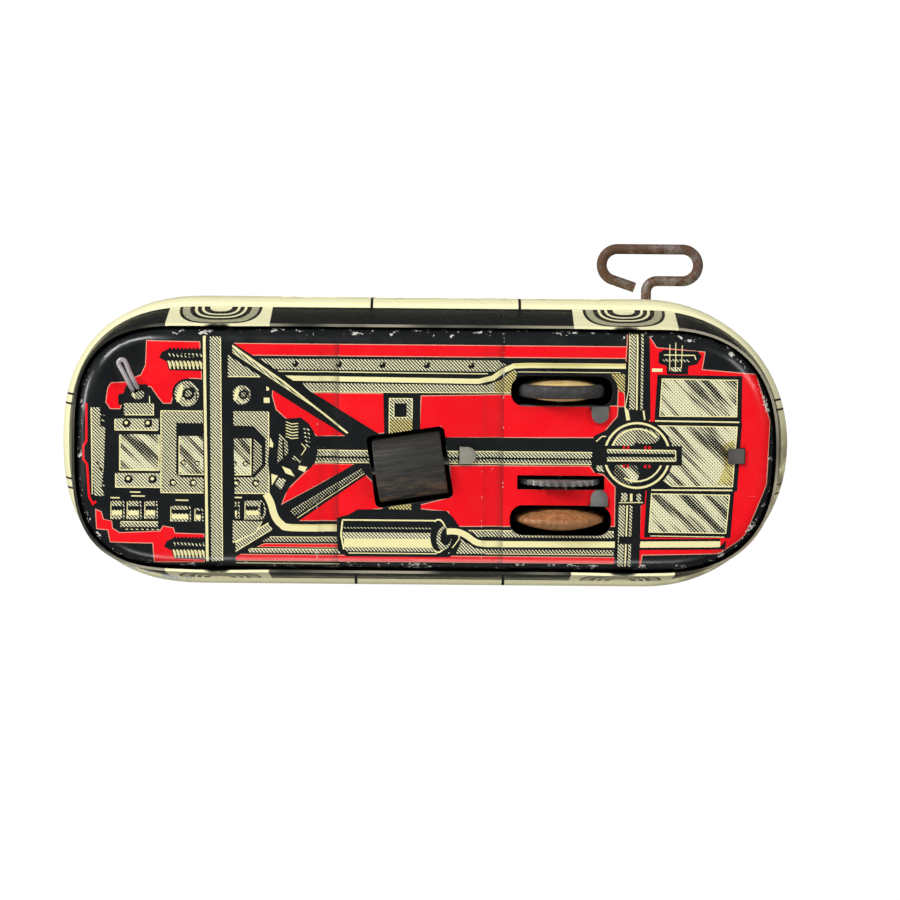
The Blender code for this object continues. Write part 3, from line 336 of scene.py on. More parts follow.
def pan_chips(tree, place):
    """Chips gather where the pan's floor turns up into its edge, and along the ribs' creases."""
    x, _, height = millimetres(tree, place)
    dent = distance_from(tree, place, to_world(DENT[0], DENT[1], 3.0))
    rise = times(tree, ramp(tree, height, 3.25, 3.9), ramp(tree, dent, 0.0062, 0.0072))
    fall = ramp(tree, height, 5.4, 6.6, 1.0, 0.15)
    edge = calc(tree, "MULTIPLY_ADD", times(tree, rise, fall), 0.56, 0.20)
    for rib in RIB_PLACES:
        crease = apart(tree, apart(tree, x, rib), 1.6)
        edge = calc(tree, "MAXIMUM", edge, ramp(tree, crease, 0.04, 0.12, 0.70, 0.0))
    return edge


def make_metal(name, base, worn_and_highlight, roughness, metallic, rust_cover=0.0, rust_colour=(0.16, 0.075, 0.035)):
    """Bare metal with a rolled grain, fine scratches and some rust."""
    made, tree, sockets, place = new_material(name, Metallic=metallic)
    grain = noise(tree, spread(tree, place, 260.0, 260.0, 2600.0), 1.0, 3.0, 0.6)
    blotch = noise(tree, place, 240.0, 4.0, 0.65)
    colour = blend_colours(tree, ramp(tree, blotch, 0.35, 0.68), base, worn_and_highlight)
    rust = use_group(tree, RUST, Vector=place, Cover=rust_cover)
    cover = times(tree, rust["Mask"], 1.0 if rust_cover else 0.0)
    tree.links.new(blend_colours(tree, cover, colour, rust_colour), sockets["Base Color"])
    shine = ramp(tree, grain, 0.3, 0.7, roughness - 0.07, roughness + 0.09)
    dulled = calc(tree, "ADD", shine, times(tree, cover, 0.25), clamp=True)
    tree.links.new(dulled, sockets["Roughness"])
    height = plus(tree, times(tree, grain, 0.4), times(tree, rust["Pits"], cover))
    bump(tree, height, 0.35, 0.00005, sockets)
    return made


def make_wood(name, pale, dark, along, roughness, soil_and_painted_shade=(0.03, 0.02, 0.015), soiled_and_shaded=0.25):
    """Turned wood with its grain along one direction, or rubber where the scales are even."""
    made, tree, sockets, place = new_material(name)
    stretched = spread(tree, place, *along)
    grain = use_group(tree, WOOD_GRAIN, Vector=stretched, Strength=1.0)
    colour = blend_colours(tree, grain["Streaks"], dark, pale)
    dirt = ramp(tree, noise(tree, place, 300.0, 4.0, 0.7), 0.45, 0.72, 0.0, soiled_and_shaded)
    darkened = calc(tree, "MAXIMUM", dirt, times(tree, grain["Pores"], 0.5))
    tree.links.new(blend_colours(tree, darkened, colour, soil_and_painted_shade), sockets["Base Color"])
    rough = ramp(tree, grain["Streaks"], 0.0, 1.0, roughness + 0.08, roughness - 0.06)
    tree.links.new(rough, sockets["Roughness"])
    bump(tree, grain["Streaks"], 0.4, 0.00006, sockets)
    return made


# ---------------------------------------------------------------- outlines, in millimetres from the middle

def turned_point(centre, x, y, turn):
    return (
        centre[0] + x * math.cos(turn) - y * math.sin(turn),
        centre[1] + x * math.sin(turn) + y * math.cos(turn),
    )


def curve_between(p0, p1, p2, p3, t):
    """The smooth curve's point from p1 at t = 0 to p2 at t = 1, with a neighbour on each side."""
    return 0.5 * (2 * p1 + (p2 - p0) * t + (2 * p0 - 5 * p1 + 4 * p2 - p3) * t ** 2
                  + (3 * p1 - p0 - 3 * p2 + p3) * t ** 3)


def plan_ring(nose, tail, half_width, height=0.0, side_steps=24, end_steps=28):
    """The car's outline at a height: straight sides and full ends, squarer at the skirt, anticlockwise."""
    low = min(1.0, max(0.0, (18.0 - height) / 13.8))
    reach = min(half_width, (nose - tail) / 2)
    found = []
    for k in range(side_steps):
        share = k / side_steps
        found.append((tail + reach + share * (nose - tail - 2 * reach), -half_width))
    found += end_curve(nose - reach, reach, half_width, 2.3 + 0.8 * low, end_steps)
    for k in range(side_steps):
        share = k / side_steps
        found.append((nose - reach - share * (nose - tail - 2 * reach), half_width))
    found += end_curve(tail + reach, -reach, -half_width, 2.0 + 0.5 * low, end_steps)
    return found


def end_curve(centre, reach, half_width, power, steps):
    found = []
    for k in range(steps):
        angle = -math.pi / 2 + math.pi * k / steps
        across = math.copysign(abs(math.sin(angle)) ** (2 / power), math.sin(angle))
        found.append((centre + reach * abs(math.cos(angle)) ** (2 / power), half_width * across))
    return found


def ellipse(centre, radius_x, radius_y=None, steps=28, turn=0.0):
    radius_y = radius_y or radius_x
    found = []
    for k in range(steps):
        angle = math.tau * k / steps
        found.append(turned_point(centre, radius_x * math.cos(angle), radius_y * math.sin(angle), turn))
    return found


def rounded_box(centre, length, width, radius, turn=0.0, steps=6):
    found = []
    for quarter, (sx, sy) in enumerate(((1, 1), (-1, 1), (-1, -1), (1, -1))):
        for k in range(steps + 1):
            angle = (quarter + k / steps) * math.pi / 2
            x = sx * (length / 2 - radius) + radius * math.cos(angle)
            y = sy * (width / 2 - radius) + radius * math.sin(angle)
            found.append(turned_point(centre, x, y, turn))
    return found


def stroke_quads(points, width, closed=False):
    """Mitred four-sided pieces that follow a line at this width."""
    line = [Vector(p) for p in points]
    count = len(line)
    sides = []
    for k, point in enumerate(line):
        before = line[k - 1] if k or closed else None
        after = line[(k + 1) % count] if k < count - 1 or closed else None
        ahead = (after - point).normalized() if after is not None else (point - before).normalized()
        behind = (point - before).normalized() if before is not None else ahead
        middle = ahead + behind
        middle = middle.normalized() if middle.length > 1e-6 else ahead
        normal = Vector((-middle.y, middle.x))
        stretch = 1 / max(0.45, abs(normal.dot(Vector((-ahead.y, ahead.x)))))
        sides.append((point + normal * width / 2 * stretch, point - normal * width / 2 * stretch))
    quads = []
    for k in range(count if closed else count - 1):
        (a, b), (c, d) = sides[k], sides[(k + 1) % count]
        quads.append([tuple(a), tuple(b), tuple(d), tuple(c)])
    return quads


def smooth_line(points, steps=5):
    """A curve through the points, for pipes and other bent lines."""
    line = [Vector(p) for p in points]
    found = []
    for k in range(len(line) - 1):
        p0, p1 = line[max(k - 1, 0)], line[k]
        p2, p3 = line[k + 1], line[min(k + 2, len(line) - 1)]
        found += [tuple(curve_between(p0, p1, p2, p3, step / steps)) for step in range(steps)]
    return found + [tuple(line[-1])]


class Print:
    """The printed picture: shapes in the order that their inks are laid."""

    def __init__(self):
        self.shapes = []

    def lay(self, ink, *points, edge=None, edge_width=0.14):
        self.shapes.append((list(points), ink))
        if edge:
            self.line(edge, edge_width, *points, closed=True)

    def line(self, ink, width, *points, closed=False, smooth=0):
        path = smooth_line(points, smooth) if smooth else points
        for quad in stroke_quads(path, width, closed):
            self.shapes.append((quad, ink))

    def bar(self, ink, x0, y0, x1, y1, **edge):
        self.lay(ink, (x0, y0), (x1, y0), (x1, y1), (x0, y1), **edge)

    def disc(self, ink, x, y, radius, radius_y=None, steps=28):
        self.lay(ink, *ellipse((x, y), radius, radius_y, steps))

    def bolt(self, x, y, size=0.42):
        self.disc("black", x, y, size, steps=14)
        self.disc("cream", x + size * 0.12, y + size * 0.12, size * 0.42, steps=10)

    def nut(self, x, y, size):
        self.disc("black", x, y, size, steps=16)
        self.disc("pale", x - 0.12, y - 0.05, size * 0.55, steps=12)
        self.disc("cream", x + 0.06, y + 0.06, size * 0.38, steps=10)

    def arc(self, ink, width, x, y, radius_x, radius_y, degrees):
        turns = [math.radians(d) for d in degrees]
        self.line(ink, width, *[(x + radius_x * math.cos(a), y + radius_y * math.sin(a)) for a in turns])


# ---------------------------------------------------------------- the picture under the car

RED_FIELDS = [
    [(42.7, 16.5), (34.5, 16.4), (34.2, 10.7), (36.0, 10.8), (38.2, 9.4), (38.9, 6.9), (40.1, 6.9),
     (41.0, 8.0), (42.0, 9.4), (44.0, 9.4), (45.0, 10.6), (43.6, 11.2), (42.9, 12.7)],
    [(48.1, 10.0), (45.7, 10.1), (44.6, 8.7), (46.2, 7.6), (46.7, 6.0), (48.2, 6.0), (48.9, 7.0),
     (48.6, 9.2)],
    [(50.5, -9.5), (49.6, -9.9), (49.3, -11.0), (48.0, -11.3), (47.9, -12.4), (46.8, -13.1), (40.6, -12.8),
     (40.1, -12.0), (38.5, -12.3), (38.3, -13.1), (33.8, -13.2), (33.8, -17.6), (41.5, -17.7), (41.7, -14.7),
     (48.3, -14.6), (48.6, -12.7), (50.4, -12.6)],
    [(23.3, 9.7), (11.7, 2.2), (16.5, 2.0), (17.4, 3.0), (18.5, 4.4), (20.7, 4.2), (22.8, 6.1), (23.4, 8.2)],
    [(18.0, 8.7), (5.8, 8.7), (5.9, 2.7), (8.6, 2.3)],
    [(16.9, -2.2), (10.4, -2.2), (21.9, -8.5), (21.0, -6.2), (18.7, -3.9)],
    [(9.1, -3.8), (6.4, -6.4), (6.4, -9.0), (10.4, -9.5), (12.6, -11.0), (19.4, -11.0)],
    [(0.6, 8.4), (-13.8, 8.7), (-15.0, 7.0), (-29.6, 7.1), (-29.5, 5.5), (-27.5, 3.1), (-26.4, 2.2),
     (-2.9, 2.0),
     (-2.5, 3.7), (0.8, 2.9)],
    [(-3.9, -2.3), (-25.4, -2.2), (-26.0, -3.1), (-27.5, -3.5), (-29.3, -5.4), (-29.3, -11.5), (-4.8, -11.7),
     (-3.7, -9.4), (0.8, -9.0), (0.6, -8.4), (-4.1, -7.2)],
    [(29.4, 16.2), (-30.9, 16.2), (-30.9, 14.4), (29.4, 14.4)],
    [(-33.9, 12.6), (-34.0, 15.9), (-33.4, 18.2), (-33.9, 18.3), (-35.4, 16.1), (-42.8, 15.5), (-42.4, 12.8),
     (-48.7, 12.3), (-50.8, 12.0), (-53.0, 4.9), (-52.6, -4.9), (-49.5, -12.6), (-48.5, -13.6),
     (-45.5, -15.6), (-33.6, -15.9),
     (-33.4, -17.7), (-33.1, -17.7), (-33.3, -7.0), (-34.6, 3.0)],
    [(29.0, -16.3), (-29.4, -16.3), (-29.4, -17.3), (29.0, -17.3)],
    [(24.5, -14.6), (13.0, -14.6), (13.0, -15.1), (25.6, -15.1)],
    [(-29.6, 10.2), (-30.5, 10.2), (-30.6, 7.0), (-29.5, 7.0)],
    [(-30.9, 18.0), (-31.1, 18.0), (-31.0, 14.0), (-30.7, 14.0)],
]


def print_red_fields(art):
    for field in RED_FIELDS:
        art.lay("red", *field, edge="pink", edge_width=0.12)
    art.line("red", 0.36, (51.9, 6.8), (51.9, 1.0), (52.4, 0.2), (52.4, -1.8), (51.8, -2.6), (51.5, -7.6),
             (50.9, -8.7), (50.4, -8.3))


def print_spring(art, x0, x1, top, teeth):
    """A coil spring seen from the side: a dark top and pale slanted turns below."""
    pitch = (x0 - x1) / teeth
    art.lay("black", (x0 + 1.4, top - 1.3), (x0 + 0.9, top - 0.4), (x0, top), (x1, top), (x1, top - 3.3),
            (x0 - 0.2, top - 3.2), (x0 + 0.2, top - 1.9))
    for k in range(teeth):
        x = x0 - 0.1 - k * pitch
        art.disc("black", x - pitch * 0.4, top, pitch * 0.42, 0.26, steps=12)
        art.line("grey", 0.22, (x - 0.1, top - 0.6), (x - pitch * 0.45, top - 1.2))
        art.line("cream", 0.24, (x + 0.05, top - 1.75), (x - pitch * 0.55, top - 3.0))
        art.line("cream", 0.12, (x - pitch * 0.35, top - 1.9), (x - pitch * 0.75, top - 2.6))


def print_radiator(art):
    art.lay("grey", (51.1, 6.2), (49.8, 6.2), (49.75, 3.4), (49.0, 3.0), (49.2, -3.0), (49.6, -6.2),
            (49.0, -7.5),
            (50.7, -7.4), (51.0, -2.0))
    art.line("cream", 0.16, (51.15, 6.2), (51.0, -7.2))
    art.line("black", 0.22, (50.3, -2.2), (49.5, -3.6))
    for y in (5.2, 4.4, -4.9, -5.6):
        art.line("deep", 0.2, (49.9, y), (49.1, y - 0.3))


def print_engine(art):
    art.lay("black", (47.0, 8.2), (46.2, 8.4), (45.8, 9.6), (42.6, 9.8), (42.2, 8.5), (41.2, 8.2),
            (41.0, 6.6),
            (47.0, 6.6))
    art.disc("deep", 44.0, 8.2, 1.0, 0.7, steps=18)
    art.line("cream", 0.16, (45.0, 8.9), (44.4, 7.6))
    art.line("cream", 0.14, (42.2, 8.0), (42.2, 6.9))
    art.bar("grey", 46.1, 6.9, 41.6, 5.1)
    art.line("cream", 0.15, (46.0, 5.1), (41.6, 5.1), (41.6, 6.8))
    art.bar("pale", 47.5, 4.5, 40.8, 2.7)
    art.line("cream", 0.16, (47.5, 4.4), (47.5, 2.75), (40.9, 2.75))
    art.bolt(45.7, 3.8, 0.66)
    art.bolt(42.4, 3.8, 0.66)
    art.bar("streak", 46.8, 2.1, 40.6, -3.4)
    art.line("cream", 0.22, (46.75, 2.0), (46.75, -3.4), (40.7, -3.4))
    art.line("cream", 0.14, (40.75, 2.0), (40.75, -3.3))
    art.bar("pale", 47.4, -3.9, 40.5, -6.1)
    art.line("cream", 0.18, (47.4, -4.0), (47.4, -6.05), (40.6, -6.05))
    art.bolt(45.4, -4.8, 0.66)
    art.bolt(41.7, -4.8, 0.66)


def print_gearbox(art):
    art.bar("grey", 40.5, 5.8, 33.9, -6.9)
    art.line("cream", 0.16, (40.45, 5.7), (40.45, -6.85), (33.9, -6.85))
    art.line("cream", 0.14, (40.5, 5.75), (33.9, 5.75))
    art.lay("black", (38.1, 3.9), (33.9, 3.9), (33.9, -4.5), (37.4, -4.5), (38.1, -4.0))
    art.bar("streak", 37.7, 1.9, 33.9, -4.0)
    art.line("cream", 0.16, (37.65, 1.85), (37.65, -4.0), (33.9, -4.0))
    for x, y, size in ((37.0, -2.2, 0.42), (34.9, -2.3, 0.42), (38.6, -5.3, 0.58), (35.5, -5.3, 0.58)):
        art.nut(x, y, size)
    art.lay("grey", (30.0, 5.8), (23.9, 5.8), (23.8, -6.9), (30.0, -6.9))
    art.line("cream", 0.15, (23.95, 5.7), (23.85, -6.85), (30.0, -6.85))
    art.lay("black", (30.0, 3.6), (26.2, 3.5), (24.4, 1.7), (24.4, -2.6), (26.1, -4.4), (30.0, -4.4))
    art.lay("deep", (26.2, 1.5), (25.0, 0.5), (24.9, -2.4), (26.3, -3.9))
    art.bar("streak", 30.0, 1.6, 26.6, -4.0)
    art.line("cream", 0.16, (26.65, 1.55), (26.65, -4.0), (30.0, -4.0))
    for x, y, size in ((29.2, -2.3, 0.42), (27.5, -2.3, 0.42), (28.9, -5.3, 0.58), (25.9, -5.3, 0.58)):
        art.nut(x, y, size)


def print_round_caps(art):
    for x, y, radius in ((36.4, 8.4, 2.35), (28.0, 8.3, 1.75)):
        art.disc("black", x, y, radius)
        art.disc("grey", x + 0.1, y, radius * 0.80, radius * 0.84)
        art.lay("cream", *ellipse((x + radius * 0.50, y + 0.1), radius * 0.16, radius * 0.62, 16, 0.25))
        art.line("black", 0.2, (x + 0.3, y + radius * 0.7), (x - radius * 0.5, y + radius * 0.2),
                 (x - radius * 0.6, y - radius * 0.4), smooth=4)
        art.disc("black", x - 0.15, y, radius * 0.40)
        art.disc("deep", x - 0.15, y + 0.05, radius * 0.22, steps=14)
        art.line("cream", 0.13, (x + 0.6, y - radius * 0.25), (x + 0.1, y - radius * 0.62),
                 (x - 0.7, y - radius * 0.6), smooth=3)
    art.bar("cream", 24.3, 10.6, 23.9, 9.0)
    art.bar("cream", 24.7, 7.9, 23.8, 7.1)


def print_shaft_row(art):
    """The row of drums below the engine."""
    art.lay("black", (49.4, -7.4), (40.9, -7.2), (24.1, -7.2), (23.6, -8.4), (24.1, -11.6), (40.5, -11.6),
            (40.8, -12.6), (46.9, -12.5), (47.5, -11.4), (49.2, -11.0))
    cells = [(48.1, 46.0, -8.2, -11.0), (45.6, 43.4, -8.2, -11.0), (42.9, 40.9, -8.2, -10.9),
             (38.9, 35.8, -8.9, -11.3), (35.2, 33.9, -9.2, -11.2), (30.0, 28.3, -8.2, -10.8),
             (27.5, 24.9, -8.0, -10.9)]
    for x0, x1, top, low in cells:
        art.lay("grey", (x0 - 0.2, top), (x1 + 0.1, top), (x1, low), (x0, low))
        middle = (top + low) / 2
        art.bar("black", x0, middle + 0.62, x1 + 0.15, middle + 0.02)
        art.bar("cream", x0 - 0.15, middle - 0.1, x1 + 0.25, middle - 0.75)
        art.line("cream", 0.13, (x0, top - 0.1), (x0 + 0.05, low))
        art.line("black", 0.2, (x1 + 0.42, top), (x1 + 0.3, low))
    art.disc("grey", 24.9, -9.3, 0.6, 1.5, steps=20)
    art.disc("black", 24.9, -9.3, 0.32, 1.15, steps=16)
    for x0, x1, y in ((48.2, 46.8, -7.7), (45.0, 42.9, -7.4), (38.2, 36.2, -8.0), (29.6, 28.0, -7.5),
                      (45.2, 43.6, -6.8)):
        art.line("cream", 0.2, (x0, y), (x1, y - 0.02))
    art.bar("grey", 46.7, -11.4, 40.9, -12.2)
    art.line("cream", 0.15, (46.6, -11.4), (40.9, -11.4))
    for k in range(7):
        art.line("cream", 0.13, (45.9 - 0.8 * k, -12.55), (45.5 - 0.8 * k, -12.6))


def print_front_member(art):
    """The upright cross member behind the engine, with its gussets and springs."""
    print_spring(art, 39.4, 34.0, 15.2, 9)
    print_spring(art, 38.6, 33.6, -13.9, 9)
    art.lay("black", (34.2, 17.9), (29.6, 17.9), (28.9, -17.9), (33.7, -17.9))
    art.lay("grey", (33.0, 17.2), (31.4, 17.2), (31.0, -17.4), (32.7, -17.5))
    art.line("cream", 0.42, (33.85, 17.3), (33.3, -17.5))
    art.line("cream", 0.14, (31.35, 17.0), (30.95, -17.4))
    art.line("pale", 0.14, (32.2, 17.0), (31.8, -17.4))
    art.lay("grey", (30.2, 14.4), (30.2, 11.1), (25.1, 11.1))
    art.line("cream", 0.15, (30.2, 11.1), (25.3, 11.1))
    art.lay("grey", (29.4, -11.1), (24.9, -11.2), (25.9, -12.9), (29.4, -14.4))
    art.line("cream", 0.15, (29.4, -14.5), (25.9, -12.95), (24.9, -11.2))


def print_braces(art):
    art.lay("black", (30.3, 16.9), (28.4, 15.6), (5.9, 1.8), (9.4, 1.7), (11.8, 1.9), (30.3, 13.4))
    art.lay("grey", (30.1, 16.1), (29.4, 16.0), (12.0, 2.5), (11.4, 2.4), (15.5, 5.6), (30.1, 15.2))
    art.line("cream", 0.30, (30.1, 16.2), (22.0, 10.6), (11.8, 2.55))
    art.line("cream", 0.12, (30.1, 15.2), (16.0, 5.9))
    art.lay("black", (10.6, -2.1), (8.2, -2.2), (8.2, -3.4), (19.6, -11.3), (22.0, -10.0), (20.9, -8.3))
    art.lay("dim", (9.8, -3.0), (9.3, -3.4), (19.9, -10.4), (20.6, -9.6))
    art.line("grey", 0.16, (9.7, -3.0), (20.4, -9.4))
    art.line("cream", 0.12, (9.2, -3.6), (19.5, -10.6))
    art.lay("black", (30.0, -14.6), (24.0, -10.9), (22.6, -11.6), (22.6, -12.9), (29.4, -17.0), (30.0, -16.6))
    art.lay("grey", (29.8, -15.0), (24.0, -11.5), (23.3, -12.3), (29.8, -16.4))
    art.line("cream", 0.18, (29.8, -15.0), (23.9, -11.4))
    art.line("cream", 0.14, (29.8, -16.4), (23.4, -12.4))


def print_side_rails(art):
    """The rails and pipes along both sides."""
    art.lay("grey", (25.5, 13.9), (-11.3, 13.9), (-13.1, 12.8), (-10.7, 12.2), (22.9, 12.3))
    for x in (19.9, 13.2, 6.5, -0.3, -7.1):
        art.disc("black", x, 13.1, 0.48, steps=14)
        art.disc("cream", x + 0.15, 13.3, 0.12, steps=8)
    art.line("cream", 0.16, (22.5, 12.0), (-9.6, 11.85))
    art.lay("grey", (18.7, 10.2), (-9.6, 10.15), (-11.6, 10.9), (-13.4, 12.6), (-14.1, 12.2), (-13.5, 9.7),
            (-13.4, 8.9), (18.0, 8.8))
    art.lay("amber", (-10.6, 10.4), (-11.9, 11.1), (-13.2, 12.4), (-14.0, 12.2), (-13.4, 9.0), (-10.8, 9.0))
    art.line("cream", 0.13, (17.9, 8.85), (-13.4, 8.95))
    pipe = ((21.9, 10.95), (-8.2, 10.7), (-10.4, 11.2), (-12.0, 12.4), (-13.6, 13.1), (-16.0, 13.2),
            (-30.7, 13.2))
    art.line("black", 1.25, *pipe)
    art.line("cream", 0.78, *pipe)
    art.line("yellow", 0.34, (-13.6, 13.25), (-16.0, 13.35), (-30.7, 13.35))
    art.line("cream", 0.12, (-14.2, 12.2), (-29.9, 12.2))
    art.lay("amber", (-28.3, 12.0), (-30.6, 12.0), (-30.6, 9.0), (-29.7, 9.4), (-29.2, 10.9))
    art.bar("deep", 25.4, -13.6, 12.6, -14.3)
    art.line("cream", 0.12, (25.4, -13.55), (12.6, -13.55))
    art.bar("grey", 27.0, -15.45, 12.4, -16.0)
    art.line("cream", 0.12, (27.0, -15.4), (12.4, -15.4))
    art.bar("grey", -6.0, -12.3, -29.2, -13.3)
    art.line("cream", 0.13, (-6.0, -12.3), (-29.2, -12.3))
    art.lay("grey", (-5.0, -13.3), (-7.5, -14.7), (-9.5, -15.1), (-10.2, -15.9), (-5.0, -15.9))
    art.bar("deep", -9.6, -15.1, -29.2, -15.8)
    art.line("cream", 0.12, (-9.6, -15.9), (-29.2, -15.9))
    art.line("cream", 0.16, (33.0, -17.7), (13.0, -17.75))


def print_coupling(art):
    """The coupling between the gearbox and the propeller shaft."""
    art.lay("black", (23.6, 6.4), (22.4, 5.0), (21.2, 4.7), (19.0, 4.9), (17.8, 4.0), (17.0, 2.8),
            (16.6, 1.4),
            (16.4, -0.5), (16.8, -2.1), (17.6, -3.0), (18.6, -3.6), (20.4, -5.4), (21.6, -7.4), (23.4, -8.4),
            (24.0, -2.0))
    for k in range(6):
        y = 3.9 - 0.45 * k
        art.line("cream", 0.14, (21.3, y + 0.35), (20.4, y), (19.4, y + 0.1))
    for k in range(5):
        art.line("grey", 0.22, (18.6 - 0.1 * k, 3.2 - 0.6 * k), (17.6, 3.0 - 0.65 * k))
    art.lay("deep", (22.3, 2.4), (21.0, 1.0), (20.9, -0.6), (22.6, -2.2))
    art.line("black", 0.3, (21.7, 1.4), (21.6, -1.4))
    art.lay("cream", (23.7, 1.8), (23.2, 0.8), (23.3, 0.2), (23.8, 0.4))
    art.lay("cream", (21.9, -2.6), (20.6, -3.1), (19.9, -4.2), (21.3, -3.7))
    art.lay("cream", (19.2, -2.5), (18.0, -2.7), (18.4, -3.5), (19.4, -3.1))
    art.lay("cream", (23.5, -3.8), (22.5, -4.1), (23.4, -5.6))
    art.lay("pale", (22.3, -4.4), (21.2, -4.7), (22.0, -6.3), (22.9, -5.4))
    art.line("cream", 0.14, (18.9, 0.9), (18.2, 0.2), (18.9, -0.9))
    art.line("deep", 0.5, (20.2, -1.2), (19.0, -1.9))


def print_propeller_shaft(art):
    art.bar("black", 17.6, 2.05, -26.6, -2.15)
    art.bar("grey", 17.3, -0.15, -26.0, -1.0)
    art.line("cream", 0.14, (17.3, -0.1), (-26.0, -0.1))
    art.bar("deep", 17.3, -1.3, -26.0, -1.85)
    art.line("cream", 0.16, (17.3, -1.95), (-26.0, -1.95))


def print_centre_box(art):
    art.lay("black", (6.4, 8.8), (0.7, 8.7), (0.7, 2.0), (6.2, 2.0))
    art.bar("grey", 5.5, 8.0, 1.9, 2.3)
    art.bar("amber", 5.5, 4.7, 1.9, 2.3)
    art.line("cream", 0.14, (5.45, 2.3), (5.45, 7.95), (1.95, 7.95), (1.95, 4.8))
    art.bar("black", 4.7, 7.2, 2.8, 5.1)
    art.line("cream", 0.12, (4.75, 7.15), (4.75, 5.05), (2.8, 5.05))
    art.lay("black", (6.4, -8.0), (0.5, -8.2), (0.5, -10.0), (6.4, -10.0))
    art.bar("amber", 5.4, -8.3, 2.0, -9.5)


def print_exhaust(art):
    pipe = [(24.3, -6.9), (23.6, -8.2), (22.9, -10.4), (21.9, -11.6), (20.4, -12.1), (12.6, -12.1)]
    art.line("black", 2.0, *smooth_line(pipe, 4))
    art.line("cream", 1.1, *smooth_line(pipe, 4))
    art.line("yellow", 0.16, (20.4, -11.7), (12.9, -11.7))
    art.lay("black", (13.4, -10.5), (11.6, -10.0), (10.2, -9.2), (5.3, -9.1), (-3.4, -9.3), (-4.4, -10.2),
            (-5.4, -11.6), (-5.7, -14.2), (-5.0, -15.8), (-3.9, -16.5), (11.9, -16.5), (13.2, -15.6),
            (13.4, -13.0))
    art.bar("cream", 12.6, -10.72, -1.6, -10.95)
    art.bar("deep", 12.4, -11.95, -1.8, -12.15)
    art.bar("pale", 12.5, -12.75, -1.9, -13.7)
    art.bar("cream", 12.3, -13.7, -1.9, -15.05)
    art.bar("grey", 12.1, -15.05, -1.6, -15.65)
    art.line("cream", 0.16, (11.6, -15.95), (-2.0, -15.95))
    art.line("cream", 0.26, (12.55, -11.0), (12.75, -13.2), (12.3, -15.4))
    art.lay("black", *ellipse((-2.9, -13.2), 1.9, 2.85, 30, 0.06))
    art.arc("cream", 0.24, -2.2, -13.2, 1.25, 2.55, range(60, 301, 20))
    art.lay("grey", *ellipse((-3.1, -13.5), 1.15, 1.9, 22, 0.1))
    art.lay("black", *ellipse((-3.4, -13.3), 0.85, 1.35, 20, 0.1))
    tail = [(-3.5, -12.5), (-5.0, -12.5), (-6.4, -13.0), (-8.0, -14.1), (-9.6, -14.4)]
    bent = smooth_line(tail, 4) + [(-30.0, -14.3), (-45.6, -14.1)]
    art.line("black", 1.7, *bent)
    art.line("cream", 0.95, *bent)
    art.lay("black", (-46.5, -13.4), (-45.2, -14.9), (-46.4, -15.0))
    art.line("cream", 0.16, (-4.4, -15.0), (-5.4, -13.6), (-5.3, -13.1), smooth=3)


